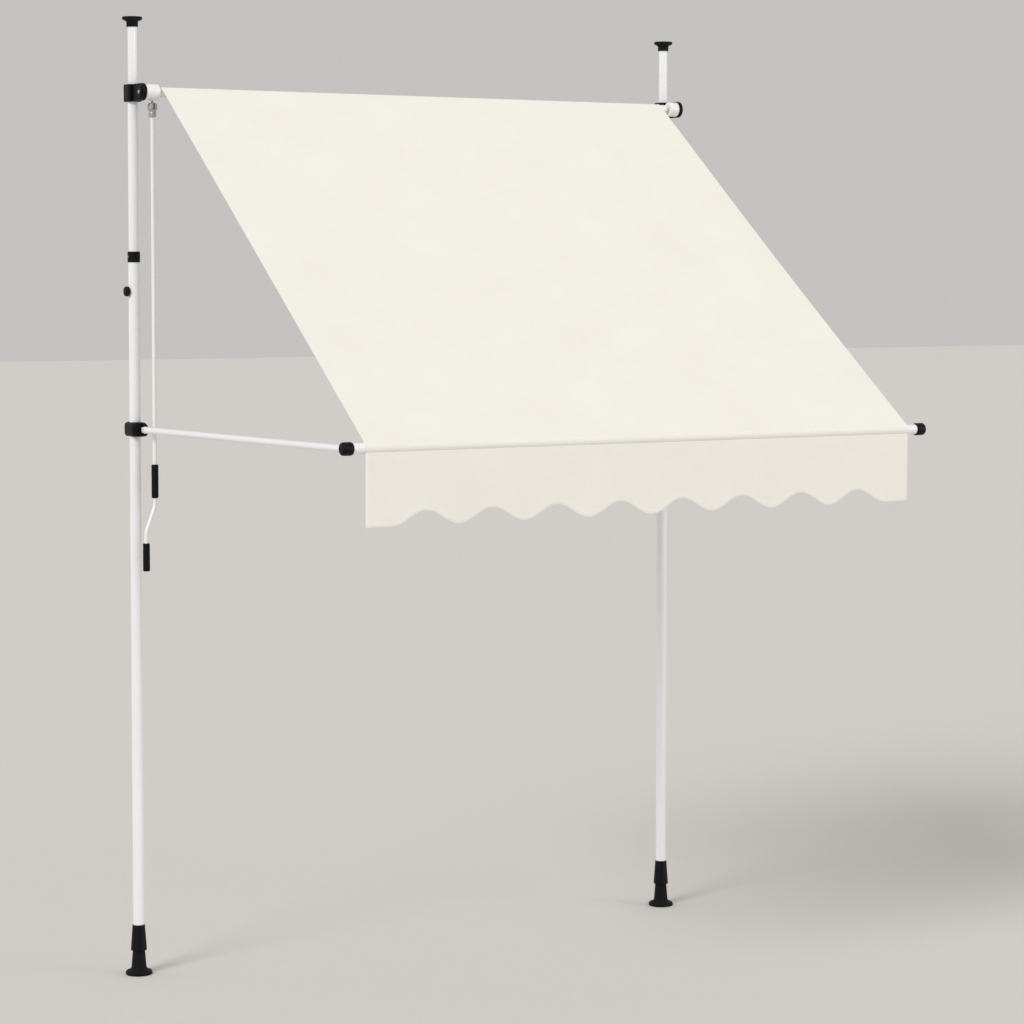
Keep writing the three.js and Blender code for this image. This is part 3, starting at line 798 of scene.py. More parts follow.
@dataclass
class Pole(Assembly):
    """One telescopic pole: foot, three stages, collar, lock knob, ceiling pad and arm bracket."""

    side: Side
    stages: tuple[tuple[str, str, float, Point2], ...] = (
        ("lower_tube", "poles", 17.5, (116, 2266)), ("mid_tube", "mast", 16.0, (1950, 2790)),
        ("top_tube", "top", 14.5, (2735, 2992.7)))
    wall: float = 1.2
    cut_edge: float = 0.45
    knob_z: float = 2150.5
    knob_face: float = -18.9
    screw_z: float = 2259.0
    clamp_half: float = 22.5
    clamp_bore: float = 17.8

    def build(self) -> None:
        """Makes the pole from the floor up."""
        word = self.side.word
        for name, body, radius, ends in self.stages:
            body = f"{word}_top" if body == "top" else body
            tube = pipe(self.named(name), radius, self.wall, ends, self.cut_edge)
            dress(self.to_pole(tube, self.side), WHITE, body, f"{word}_{name}")
        for made, finish, body, node in (
            (self.foot(), RUBBER, f"{word}_foot", "foot"),
            (self.sleeve(), NYLON, "poles", "foot_sleeve"),
            (self.collar(), NYLON, "poles", "tube_collar"),
            (self.knob(), NYLON, f"{word}_knob", "lock_knob"),
            (self.pad(), RUBBER, f"{word}_top", "ceiling_pad"),
            (self.arm_bracket(), NYLON, "mast", "arm_bracket"),
        ):
            dress(self.to_pole(made, self.side), finish, body, f"{word}_{node}")
        dress(self.to_pole(self.pivot_head(), self.side), NYLON, "mast", slot=STEEL.slot)
        dress(self.to_pole(self.stage_screw(), self.side), STEEL, "poles")
        for node in ("foot_screw", "clamp_screw", "pivot_bolt"):
            dress_node(f"{word}_{node}", STEEL)

    def named(self, word: str) -> str:
        """Name of a piece of this pole."""
        return f"{self.side.word}_pole_{word}"

    def foot(self) -> Object:
        """Rubber foot: round-edged disc, concave flare, slightly tapered neck.

        Returns:
            The foot.
        """
        turns = [k * math.pi / 16 for k in range(9)]
        flare = [(36.5 - 13.2 * math.sin(t), 12.6 + 14.5 * (1 - math.cos(t))) for t in turns]
        return revolve(self.named("foot"), [
            (0, 0), (39.5, 0), (41.4, 1.2), (42, 5.2), (41.0, 9.8), (38.6, 12.1), *flare,
            (18.7, 83.0), (17.6, 84.0), (0, 84.0)],
            [0, 1.4, 1.4, 4, 3, 2, *[1.0] * len(flare), 1.0, 0.6, 0])

    def sleeve(self) -> Object:
        """Tapered hand sleeve over the foot's neck, with a soft lip at its lower edge.

        Returns:
            The sleeve.
        """
        return revolve(self.named("sleeve"), [
            (21.5, 77.1), (24.4, 77.0), (25.3, 78.2), (24.9, 84.5), (19.5, 157.0),
            (18.7, 158.0), (17.8, 158.0), (17.8, 116.0), (6.4, 116.0), (6.4, 112.0),
            (20.0, 112.0), (20.0, 96.4), (21.4, 95.6), (21.4, 78.0), (21.5, 77.1)],
            [0, 0.6, 0.8, 3, 0.8, 0.5, 0.2, 0.2, 0.2, 0.2, 0.4, 0.3, 0.3, 0.3, 0])

    def collar(self) -> Object:
        """Collar on the lower tube's end, with a shallow groove below its upper rim.

        Returns:
            The collar.
        """
        return revolve(self.named("collar"), [
            (17.8, 2241), (18.9, 2241), (19.6, 2242), (19.6, 2247.2), (19.25, 2247.8),
            (19.25, 2249.0), (19.6, 2249.6), (19.6, 2272.4), (18.6, 2274), (16.3, 2274),
            (16.3, 2266.3), (17.8, 2266.3), (17.8, 2241)],
            [0, 0.4, 0.6, 0.2, 0.2, 0.2, 0.2, 1.2, 0.6, 0.4, 0.2, 0.2, 0])

    def knob(self) -> Object:
        """Fluted lock knob: domed head with finger flutes, a boss and a stud to the tube.

        Returns:
            The knob.
        """
        face = self.knob_face

        def flutes(angle: float, along: float) -> float:
            """Eight shallow flutes round the rim of the head.

            Args:
                angle: angle round the knob.
                along: distance along its axis.

            Returns:
                Factor on the radius.
            """
            if along > face + 0.2 or along < face - 12.4:
                return 1.0
            return 1.0 - 0.05 * max(0.0, math.cos(8 * angle)) ** 2
        return revolve(self.named("knob"), [
            (0, face - 13.4), (9, face - 13.3), (13.4, face - 12.0), (15.4, face - 9.0),
            (15.6, face - 5.6), (15.4, face - 1.2), (14.0, face), (6, face), (6, -17.8),
            (2.9, -17.8), (2.9, -16.4), (0, -16.4)],
            [0, 4, 3, 2.4, 2, 1.6, 0.8, 0.4, 0.3, 0.2, 0.2, 0],
            Axis.X, (0, 0, self.knob_z * MM), wobble=flutes)

    def pad(self) -> Object:
        """Ceiling pad: neck over the top tube, small flare and a round-edged disc.

        Returns:
            The pad.
        """
        return revolve(self.named("pad"), [
            (14.8, 2969), (17.2, 2969), (18.1, 2970), (18.1, 2983.4), (19.8, 2986.6),
            (28.6, 2990.4), (31, 2992.4), (31, 2998.4), (29.8, 3000), (0, 3000), (0, 2993),
            (14.8, 2993), (14.8, 2969)],
            [0, 0.5, 0.8, 3.0, 3.0, 2.2, 1.6, 1.2, 0.8, 0, 0, 0.3, 0])

    def arm_bracket(self) -> Object:
        """Moulded clamp round the lower tube, with a lug beside the arm's eye.

        Returns:
            The bracket.
        """
        pivot = self.places.from_pole(self.places.pivot)
        axis = pivot * MM
        low, high = pivot.z - self.clamp_half, pivot.z + self.clamp_half
        ring = prism(self.named("arm_bracket"), rectangle(-25, -44, 25, 36, 16, 12), low, high,
                     rim=11.5, arc=8)
        lug = prism("lug", tongue(36, 20, 40), 5.3, 12.3, Axis.X, axis, 2.0)
        room = prism("room", circle(13.6, 64), -40, 5.3, Axis.X, axis, 1.2)
        bore = prism("bore", circle(self.clamp_bore, 96), low - 5, high + 5)
        hole = prism("hole", circle(3.3, 24), 0, 20, Axis.X, axis)
        split = prism("split", rectangle(-0.9, 12, 0.9, 50, 0.3), low - 5, high + 5)
        return carve(ring, [lug], [room, bore, hole, split])

    def pivot_head(self) -> Object:
        """Small cap on the head of the pivot bolt.

        Returns:
            The bolt head.
        """
        return revolve(self.named("pivot_cap"), [
            (0, -4.9), (2.4, -4.7), (3.9, -3.4), (4.1, -1.2), (0, -1.2)], [0, 1.5, 1.2, 0, 0],
            Axis.X, self.places.from_pole(self.places.pivot) * MM, 48)

    def stage_screw(self) -> Object:
        """Small countersunk screw of the collar, on the outer side.

        Returns:
            The screw.
        """
        return revolve(self.named("collar_screw"), [
            (0, -20.4), (1.2, -20.4), (1.2, -20.15), (2.6, -20.0), (2.8, -19.5), (0, -19.5)],
            [0, 0.1, 0.1, 0.3, 0.1, 0], Axis.X, (0, 0, self.screw_z * MM), 24, 2)


@dataclass
class RollerUnit(Assembly):
    """Roller tube, its two brackets, the gear housing, the idler drum and the cloth on it."""

    tube_r: float = 14.0
    wall: float = 1.2
    tube_ends: Point2 = (-936.0, 938.0)
    cloth_ends: Point2 = (-930.0, 913.0)
    wrap_r: float = 15.4
    wrap_thick: float = 0.55
    wrap_turns: int = 2
    flat_r: float = 15.0     # radius on which the weave of the turns is laid out
    housing_long: float = 46.0
    idler_long: float = 33.0
    bracket_half: float = 27.0
    cheek_out: float = -10.0
    cheek_in: float = 2.4
    gap: float = 0.3
    seat_r: float = 4.3      # seat of the axle bolts

    @property
    def axis(self) -> Vector:
        """Roller axis at the middle of the awning, in metres."""
        return Vector((0, *self.places.roller.yz))

    @property
    def axle(self) -> Vector:
        """Roller axis counted from a pole, in metres."""
        return self.places.from_pole(self.places.roller) * MM

    @property
    def drum_face(self) -> float:
        """Outer face of the drums from the middle of the awning, in millimetres."""
        return self.places.pole.x / MM - self.cheek_in - self.gap

    def build(self) -> None:
        """Makes the brackets first, then what turns between them."""
        for side in Side:
            dress(self.to_pole(self.bracket(side), side), NYLON, "mast",
                  f"{side.word}_roller_bracket")
            dress(self.to_pole(self.bolt(side), side), STEEL, "mast", f"{side.word}_axle_bolt")
        dress(pipe("roller_tube_steel", self.tube_r, self.wall, self.tube_ends, 0.4, Axis.X,
                   self.axis, 64), WHITE, "roller", "roller_tube")
        dress(self.housing(), ABS, "mast", "gear_housing")
        dress(self.idler(), ABS, "mast", "idler_drum")
        dress(self.cap(), CREAM, "roller")
        dress(self.wrap(), CANVAS, "roller")
        dress_node("drive_plug", ZINC)
        dress_node("idler_plug", CREAM)

    def bracket(self, side: Side) -> Object:
        """Moulded block round the mid tube that runs forward into a round-ended cheek.

        Args:
            side: pole that it is named for.

        Returns:
            The bracket.
        """
        z, axle, out = self.places.roller.z / MM, self.axle, self.cheek_out
        low, high = z - self.bracket_half, z + self.bracket_half
        block = prism(f"{side.word}_roller_bracket_moulding",
                      rectangle(-22.5, -23, 22.5, 24, 9, 10), low, high, rim=3.2)
        cheek = prism("cheek", tongue(64, self.bracket_half - 0.1, 48), out, self.cheek_in,
                      Axis.X, axle, 2.2)
        face = out - 4.5
        boss = revolve("boss", [
            (0, face), (14.2, face), (16.6, face + 1.2), (17.5, face + 5.5), (0, face + 5.5)],
            [0, 1.6, 1.4, 0, 0], Axis.X, axle, arc=5)
        groove = revolve("groove", [
            (20.4, face), (22.2, face), (22.2, out + 0.9), (20.4, out + 0.9), (20.4, face)],
            axis=Axis.X, at=axle)
        bore = prism("bore", circle(16.3, 96), low - 5, high + 5)
        hole = prism("hole", circle(self.seat_r), -22, 5, Axis.X, axle)
        return carve(block, [cheek, boss], [groove, bore, hole])

    def bolt(self, side: Side) -> Object:
        """Axle bolt: round head with a hexagon socket, on a washer.

        Args:
            side: pole that it is named for.

        Returns:
            The bolt.
        """
        face = self.cheek_out - 4.8
        head = revolve(f"{side.word}_axle_bolt_head", [
            (0, face - 3.6), (3.2, face - 3.6), (4.8, face - 2.4), (5.0, face - 0.8),
            (6.2, face - 0.7), (6.2, face), (4, face), (4, 3.2), (0, 3.2)],
            [0, 0.8, 0.8, 0.2, 0.2, 0.1, 0.1, 0.2, 0], Axis.X, self.axle, 48, 3)
        socket = prism("socket", circle(4 / math.sqrt(3), 6), face - 5, face - 1.4, Axis.X,
                       self.axle)
        return carve(head, [], [socket])

    def housing(self) -> Object:
        """Gear housing: white drum with a joint line and a neck for the worm.

        Returns:
            The housing.
        """
        left = -self.drum_face
        right = left + self.housing_long
        drum = revolve("gear_housing_moulding", [
            (0, left), (23.2, left), (24, left + 0.9), (24, left + 11.6), (23.6, left + 12.0),
            (23.6, left + 12.6), (24, left + 13.0), (24, right - 2.6), (21.6, right),
            (9, right), (9, right - 1.2), (5.3, right - 1.2), (5.3, right - 12), (0, right - 12)],
            [0, 0.5, 0.7, 0.2, 0.1, 0.1, 0.2, 2.4, 1.6, 0.3, 0.3, 0.3, 0, 0], Axis.X, self.axis)
        spot = (self.places.joint.x, *self.axis.yz)
        neck = revolve("neck", [(0, -26.6), (7.4, -26.6), (9, -25.6), (9, -12), (0, -12)],
                       [0, 0.3, 0.8, 0, 0], at=spot, steps=48)
        bore = prism("bore", circle(5.8), -30, -20, at=spot)
        seat = prism("seat", circle(self.seat_r, 24), left - 2, left + 6, Axis.X, self.axis)
        return carve(drum, [neck], [bore, seat], 38)

    def idler(self) -> Object:
        """Idler drum of the far end: shorter, with a stepped face towards the roller.

        Returns:
            The drum.
        """
        right = self.drum_face
        left = right - self.idler_long
        drum = revolve("idler_drum_moulding", [
            (0, left + 11), (5.4, left + 11), (5.4, left + 1.2), (9, left + 1.2), (9, left),
            (21.6, left), (24, left + 2.6), (24, right - 0.9), (23.2, right), (0, right)],
            [0, 0, 0.3, 0.3, 0.3, 1.6, 2.4, 0.7, 0.5, 0], Axis.X, self.axis)
        seat = prism("seat", circle(self.seat_r, 24), right - 6, right + 2, Axis.X, self.axis)
        return carve(drum, [], [seat], 38)

    def cap(self) -> Object:
        """Cream ring that closes the roller tube beside the idler drum.

        Returns:
            The cap.
        """
        end = self.tube_ends[1]
        return revolve("roller_cream_cap", [
            (5.4, end + 0.2), (13.5, end + 0.2), (13.7, end + 4.2), (12.0, end + 6.4),
            (5.4, end + 6.4), (5.4, end + 0.2)], [0, 0.2, 1.2, 1.2, 0.2, 0],
            Axis.X, self.axis, 64)

    def wrap(self) -> Object:
        """Turns of cloth left on the roller, as one spiral sheet with cut edges.

        Returns:
            The turns.
        """
        steps, columns = 48 * self.wrap_turns, 40
        first = self.tube_r + 0.1
        spiral = []
        for k in range(steps + 1):
            t = k / steps
            a = -math.pi / 2 + 2 * math.pi * self.wrap_turns * (t - 1) - 0.2
            spiral.append((first + (self.wrap_r - first) * t, a))
        lines = spiral + [(r + self.wrap_thick, a) for r, a in reversed(spiral)]
        low, high = self.cloth_ends
        rings = [[self.axis + Vector((low + (high - low) * i / columns, r * math.cos(a),
                                      r * math.sin(a))) * MM for r, a in lines]
                 for i in range(columns + 1)]
        flats = [(p.x, math.atan2(p.z - self.axis.z, p.y - self.axis.y) * self.flat_r * MM)
                 for ring in rings for p in ring]
        return lay_flat(loft("cloth_on_roller", rings, strip=True), flats)


@dataclass
class Crank(Assembly):
    """Hanging crank: universal joint, bent rod and two sleeves that turn in the hands."""

    rod_r: float = 6.5
    grip_r: float = 11.0
    grip_gap: float = 0.3
    upper_grip: Point2 = (1510.0, 1614.0)
    lower_grip: Point2 = (1284.5, 1371.0)
    bend_from: float = 1484.0
    bend_to: float = 1406.0
    bend_long: float = 15.0  # how far from its corner a bend starts
    rib: float = 6.0         # pitch of the grips' ribs

    def build(self) -> None:
        """Makes the crank from the gear down."""
        top, low = (Vector((*place.xy, 0)) for place in (self.places.joint, self.places.handle))
        dress(self.fork(top), ZINC, "crank", "joint_fork")
        dress(self.pin(), STEEL, "crank", "joint_pin")
        dress(self.rod(top / MM, low / MM), WHITE, "crank", "crank_rod")
        for word, spot, ends in (("upper", top, self.upper_grip), ("lower", low, self.lower_grip)):
            grip = self.grip(word, spot, *ends, through=word == "upper")
            dress(grip, NYLON, f"{word}_grip", f"crank_grip_{word}")
        dress_node("worm_eye", ZINC)

    def fork(self, spot: Vector) -> Object:
        """Cast fork: socket for the rod, a waist and two rounded ears.

        Args:
            spot: place of the rod's axis, in metres.

        Returns:
            The fork.
        """
        body = revolve("joint_fork_casting", [
            (0, 2688), (10.6, 2688), (11.9, 2690.4), (11.9, 2700.5), (10.9, 2703.0),
            (11.2, 2706.5), (14.2, 2710.5), (14.8, 2714), (14.8, 2725), (11.0, 2730.8),
            (7.0, 2731.6), (0, 2731.6)],
            [0, 0.8, 1.4, 1.2, 1.4, 1.6, 2.0, 2.0, 2.6, 2.6, 1.6, 0], at=spot, steps=64, arc=5)
        cut = [prism(word, rectangle(*box, soft), 2711, 2740, at=spot) for word, box, soft in (
            ("flat", (-20, 11.6, 20, 30), 1), ("flat", (-20, -30, 20, -11.6), 1),
            ("slot", (-3.2, -20, 3.2, 20), 0.4))]
        cut.append(prism("socket", circle(6.8), 2680, 2700.3, at=spot))
        cut.append(prism("hole", circle(2.7, 24), -25, 25, Axis.X,
                         (*spot.xy, self.places.joint.z)))
        return carve(body, [], cut)

    def pin(self) -> Object:
        """Riveted pin of the joint.

        Returns:
            The pin.
        """
        half = [(0, 15.6), (2.6, 15.4), (3.6, 14.9), (3.6, 14.85), (2.5, 14.8)]
        radii = [0, 0.6, 0.1, 0.05, 0.05]
        return revolve("joint_pin_rivet", [(r, -x) for r, x in half] + half[::-1],
                       radii + radii[::-1], Axis.X, self.places.joint, 32, 3)

    def rod(self, top: Vector, low: Vector) -> Object:
        """Round steel rod with one easy double bend.

        Args:
            top: place of the axis above the bend, in millimetres.
            low: place of the axis below it.

        Returns:
            The rod.
        """
        heights = (2700, 2699.4, 2698, 2600, 2400, 2200, 2000, 1800, 1650, 1560)
        route = [Vector((*top.xy, z)) for z in heights]
        upper, lower = Vector((*top.xy, self.bend_from)), Vector((*low.xy, self.bend_to))
        between = (lower - upper).normalized() * self.bend_long
        down = Vector((0, 0, -self.bend_long))
        route += bend(upper - down, upper, upper + between, 12)
        route += bend(lower - between, lower, lower + down, 12)
        route += [Vector((*low.xy, z)) for z in (1372, 1340, 1300, 1289)]
        rings = []
        for i, place in enumerate(route):
            tangent = (route[min(i + 1, len(route) - 1)] - route[max(i - 1, 0)]).normalized()
            side = (ACROSS - tangent * ACROSS.dot(tangent)).normalized()
            up = tangent.cross(side)
            rings.append([(place + side * u + up * v) * MM for u, v in circle(self.rod_r)])
        return loft("crank_rod_steel", rings, angle=32)

    def grip(self, word: str, spot: Vector, low: float, high: float, through: bool) -> Object:
        """Moulded sleeve: shallow rings for the hand, rounded ends.

        Args:
            word: upper or lower.
            spot: place of the rod's axis.
            low: height of its lower end.
            high: height of its upper end.
            through: whether the rod passes right through.

        Returns:
            The grip.
        """
        r, hole = self.grip_r, self.rod_r + self.grip_gap
        line = [(hole, low)] if through else [(0, low)]
        line += [(r - 1.6, low), (r - 0.4, low + 1.6)]
        for k in range(int((high - low - 16) / self.rib)):
            z = low + 8 + k * self.rib
            line += [(r, z), (r, z + 4.2), (r - 0.35, z + 4.7), (r - 0.35, z + 5.5)]
        line += [(r, high - 6), (r - 0.5, high - 1.6), (r - 2, high), (hole, high)]
        line += [(hole, low)] if through else [(hole, low + 3.5), (0, low + 3.5)]
        radii = [0.0] + [0.3] * (len(line) - 2) + [0.0]
        return revolve(f"crank_{word}_grip_sleeve", line, radii, at=spot, steps=64, arc=2)


@dataclass
class Arm(Assembly):
    """One arm: round tube whose rear end is pressed flat into an eye, and its end barrel."""

    side: Side
    arm_r: float = 10.0
    plane: float = 2.0
    eye_half: float = 3.0    # half the thickness of the flattened eye
    eye_back: float = 8.6    # the eye's rounded end behind the pivot
    eye_r: float = 9.3       # half its height where the pressed part begins
    pressed: Point2 = (8.0, 24.0)    # start and length of the pressed part
    barrel_r: float = 18.7
    in_barrel: float = 9.0

    def __post_init__(self) -> None:
        """Finds the arm's pivot, direction and length in pole millimetres."""
        self.start = self.places.from_pole(self.places.pivot, self.plane)
        line = self.places.from_pole(self.places.bar, self.plane) - self.start
        self.way, self.length = line.normalized(), line.length

    def build(self) -> None:
        """Makes the arm and the barrel."""
        word = self.side.word
        dress(self.to_pole(self.tube(), self.side), WHITE, "arms", f"{word}_arm")
        dress(self.to_pole(self.barrel(), self.side), NYLON, "arms", f"{word}_bar_end")

    def tube(self) -> Object:
        """Arm tube: rounded flat eye, a pressed transition, then plain round tube.

        Returns:
            The tube.
        """
        back, stations = self.eye_back, []
        for a in (math.pi / 2 * k / 8 for k in range(9)):
            stations.append((-back * math.cos(a), max(0.4, back * math.sin(a)), self.eye_half))
        stations.append((6, 9.0, self.eye_half))
        first, long = self.pressed
        for t in (k / 12 for k in range(1, 13)):
            ease, bulge = t * t * (3 - 2 * t), 1.1 * math.sin(math.pi * t)
            stations.append((first + long * t,
                             self.eye_r + bulge + (self.arm_r - self.eye_r) * ease,
                             self.eye_half + (self.arm_r - self.eye_half) * ease))
        end = self.length - self.barrel_r + self.in_barrel
        stations += [(60, self.arm_r, self.arm_r), (end, self.arm_r, self.arm_r)]
        up = ACROSS.cross(self.way)
        rings = []
        for s, half_up, half_side in stations:
            flat = (half_side - self.eye_half) / (self.arm_r - self.eye_half)
            power = 0.5 + 0.5 * flat
            rings.append([])
            for c, d in circle(1, 48):
                u = math.copysign(abs(c) ** power, c) * half_side
                v = math.copysign(abs(d) ** power, d) * half_up
                rings[-1].append((self.start + self.way * s + ACROSS * u + up * v) * MM)
        return loft(f"{self.side.word}_arm_tube", rings)

    def barrel(self) -> Object:
        """Moulded barrel across the arm's end: crowned rims and a plug into the front bar.

        Returns:
            The barrel.
        """
        axis = Vector((0, *(self.start + self.way * self.length).yz)) * MM
        barrel = revolve(f"{self.side.word}_arm_barrel", [
            (0, -12.5), (12.0, -12.5), (16.2, -11.0), (18.4, -7.4), (18.7, -3.0),
            (18.7, 15.2), (17.9, 19.4), (16.0, 21.0), (13.2, 21.0), (13.2, 46.0), (12.2, 47.0),
            (0, 47.0)], [0, 3, 3, 2.4, 3, 2.4, 1.8, 0.8, 0.3, 0.5, 0.4, 0], Axis.X, axis)
        return carve(barrel, [], [prism("screw", circle(3.2, 24), -14, -11.4, Axis.X, axis)], 38)


@dataclass
class FrontBar(Assembly):
    """Front bar between the two barrels."""

    bar_r: float = 15.0
    wall: float = 1.5
    reach: float = 966.7

    def build(self) -> None:
        """Makes the bar."""
        bar = pipe("front_bar_steel", self.bar_r, self.wall, (-self.reach, self.reach), 0.5,
                   Axis.X, (0, *self.places.bar.yz), 64)
        dress(bar, WHITE, "front_bar", "front_bar")


@dataclass
class Cloth(Assembly):
    """Canopy, pocket and valance with their hems, binding and stitching."""

    half: float = 930.0
    thick: float = 1.0
    offset: float = 15.9     # straight line between the axes up to the canopy's middle
    pocket_r: float = 15.25
    pocket_thick: float = 1.1
    pocket_turn: Point2 = (-136.5, 219.5)   # degrees where the pocket starts and ends
    seam: float = 10.6       # bar axis down to the valance's upper edge
    setback: float = 12.9    # bar axis forward to the middle of the valance
    lobe: float = 216.0
    notch: float = 175.0
    pitch: float = 212.0
    notches: int = 8
    sag: float = 3.0
    waist: float = 4.0
    taper: float = 17.0      # the cloth is narrower on the roller, all of it on the right
    hem: float = 22.0
    hem_thick: float = 0.75
    tape: float = 9.0
    tape_thick: float = 0.45
    hem_seam: float = 19.0   # stitches from the canopy's long edge
    tape_seam: float = 6.5   # stitches above the valance's lower edge
    top_seams: Point2 = (5.0, 9.0)   # stitches below the valance's upper edge
    dash: Point2 = (0.15, 0.85)      # part of its pitch that a stitch covers
    hem_stitches: int = 260
    valance_stitches: int = 360
    canopy_steps: tuple[int, int] = (112, 124)
    valance_steps: tuple[int, int] = (372, 24)
    pocket_steps: tuple[int, int] = (62, 56)

    def __post_init__(self) -> None:
        """Finds the straight line from the roller to the bar, and the cloth's upward normal."""
        self.start = Vector((0, *self.places.roller.yz))
        line = Vector((0, *self.places.bar.yz)) - self.start
        self.way, self.length = line.normalized(), line.length
        self.up = self.way.cross(ACROSS)

    def build(self) -> None:
        """Makes the canopy, then the pocket and the valance."""
        canopy = dress(self.canopy(), CANVAS, "canopy", "canopy")
        hems = [dress(self.side_hem(side), CANVAS, "canopy") for side in Side]
        stitches = dress(self.hem_seams(), THREAD, "canopy")
        for piece in (canopy, *hems, stitches):
            tuple(self.way)
            tuple(self.start)
            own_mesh(piece)
        pocket = dress(self.pocket(), CANVAS, "front_bar")
        valance = dress(self.valance(), VALANCE, "front_bar", "valance")
        binding = dress(self.binding(), TAPE, "front_bar")
        seams = dress(self.valance_seams(), THREAD, "front_bar")
        self.valance_area()

    def folded_share(self) -> float:
        """Finds how much of the cloth is left out when the arms are fully raised.

        Returns:
            Share of the cloth's length.
        """
        swing = next(j for j in frame["joints"] if j["name"] == "arm_swing")
        raise_by = Matrix.Rotation(-math.radians(swing["range_deg"][1]), 2)
        pivot, bar, roller = (place.yz for place in (
            self.places.pivot, self.places.bar, self.places.roller))
        return (pivot + raise_by @ (bar - pivot) - roller).length / self.length

    def height(self, x: float, s: float) -> float:
        """Shape of the stretched canopy: light sag, faint tension waves from the corners.

        Args:
            x: from -1 to 1 across the cloth.
            s: from 0 at the roller to 1 at the front bar.

        Returns:
            Height above the straight line in millimetres, not positive.
        """
        free = math.sin(math.pi * s)
        sag = -self.sag * free * (1 - 0.25 * x * x)
        wave = 0.5 * free * math.sin(7 * math.pi * x + 2.2 * s) * (0.35 + 0.65 * abs(x))
        corner = -1.2 * free * abs(x) ** 6
        return sag + wave + corner

    def stretched(self, x: float, s: float, above: float, inboard: float = 0.0) -> Vector:
        """Point of the canopy, in metres.

        Args:
            x: from -1 to 1 across the cloth.
            s: from 0 at the roller to 1 at the front bar.
            above: millimetres above the middle of the cloth.
            inboard: millimetres towards the middle of the awning.

        Returns:
            The point: the long edges draw in between the roller and the bar, and the right
            one also runs inboard towards the roller.
        """
        span = self.half - self.waist * math.sin(math.pi * s)
        across = x * span - self.taper * (1 - s) * (x + 1) / 2 - math.copysign(inboard, x)
        z = self.offset + above + self.height(x, s)
        return (self.start + self.way * (s * self.length) + self.up * (z * MM)
                + ACROSS * (across * MM))

    def canopy(self) -> Object:
        """Canopy sheet, from the roller to the bar.

        Returns:
            The sheet.
        """
        def place(s: float, share: float, layer: float) -> tuple[Vector, Point2]:
            """Point and flat place of one corner of the sheet.

            Args:
                s: share of the length, from the roller to the bar.
                share: share of the width, from 0 to 1.
                layer: thicknesses of cloth above the middle of the sheet.

            Returns:
                The point and its flat place.
            """
            x = 2 * share - 1
            return (self.stretched(x, s, layer * self.thick),
                    (x * self.half * MM, s * self.length))
        return sheet_mesh("canopy_cloth", self.canopy_steps, place)

    def side_hem(self, side: Side) -> Object:
        """Folded hem along a long edge, lying on the underside of the canopy.

        Args:
            side: the long edge.

        Returns:
            The hem.
        """
        rings, flats = [], []
        steps, air, shy = self.canopy_steps[0], 0.02, 0.2
        for s in (j / steps for j in range(steps + 1)):
            rings.append([])
            for inner, low in ((0, 0), (1, 0), (1, 1), (0, 1)):
                x = side.value * (1 - inner * self.hem / self.half)
                below = self.thick / 2 + air + low * self.hem_thick
                rings[-1].append(self.stretched(x, s, -below, shy))
                flats.append((x * self.half * MM, s * self.length))
        return lay_flat(loft(f"canopy_hem_{side.word}", rings), flats)

    def hem_seams(self) -> Object:
        """Rows of stitches that hold the side hems, on the upper face.

        Returns:
            The stitches.
        """
        x, count = 1 - self.hem_seam / self.half, self.hem_stitches
        return stitch_mesh("canopy_stitches", [
            (*(self.stretched(side.value * x, (k + t) / count, self.thick / 2)
               for t in self.dash), self.up) for side in Side for k in range(count)])

    def pocket(self) -> Object:
        """Pocket of cloth round the front bar, open below where the valance hangs.

        Returns:
            The pocket.
        """
        columns, steps = self.pocket_steps
        first, last = (math.radians(angle) for angle in self.pocket_turn)
        turns = [first + (last - first) * k / steps for k in range(steps + 1)]
        outer = self.pocket_r + self.pocket_thick
        section = [(self.pocket_r, a) for a in turns] + [(outer, a) for a in reversed(turns)]
        stride = 1.7         # cloth between two points of the section
        rings, flats = [], []
        for x in self.spread(columns):
            rings.append([Vector((0, *self.places.bar.yz))
                          + Vector((x, r * math.cos(a), r * math.sin(a))) * MM
                          for r, a in section])
            flats += [(x * MM, k * stride * MM) for k in range(len(section))]
        return lay_flat(loft("front_bar_pocket", rings, strip=True), flats)

    def edge(self, x: float) -> float:
        """Scalloped lower edge of the valance.

        Args:
            x: millimetres from the middle of the awning.

        Returns:
            Depth of the edge below the bar axis, in millimetres.
        """
        swing, middle = (self.lobe - self.notch) / 2, (self.lobe + self.notch) / 2
        last = (self.notches - 1) / 2 * self.pitch
        if abs(x) > last + self.pitch / 2:
            return self.lobe
        return middle - swing * math.cos((x - last) * 2 * math.pi / self.pitch)

    def sway(self, x: float, depth: float) -> float:
        """Soft folds of the hanging valance.

        Args:
            x: millimetres from the middle of the awning.
            depth: millimetres below the bar axis.

        Returns:
            Millimetres forward.
        """
        still = 25
        hang = max(0.0, (depth - still) / (self.lobe - still))
        slow = math.sin(x / 236.0 + 0.7) + 0.6 * math.sin(x / 97.0 + 1.9)
        return hang ** 1.4 * (1.6 * slow + 0.8 * math.sin(x / 41.0 + 0.4))

    def hanging(self, x: float, depth: float, out: float) -> Vector:
        """Point of the valance, which tucks in to the bar at its seam.

        Args:
            x: millimetres from the middle of the awning.
            depth: millimetres below the bar axis.
            out: millimetres in front of the middle of the cloth.

        Returns:
            The point, in metres.
        """
        tuck = math.exp(-max(depth - self.seam, 0) / 6)
        y = tuck - self.setback - out - self.sway(x, depth)
        return Vector((0, *self.places.bar.yz)) + Vector((x, y, -depth)) * MM

    def spread(self, count: int) -> list[float]:
        """Places across the cloth, count equal steps apart, in millimetres."""
        return [-self.half + 2 * self.half * i / count for i in range(count + 1)]

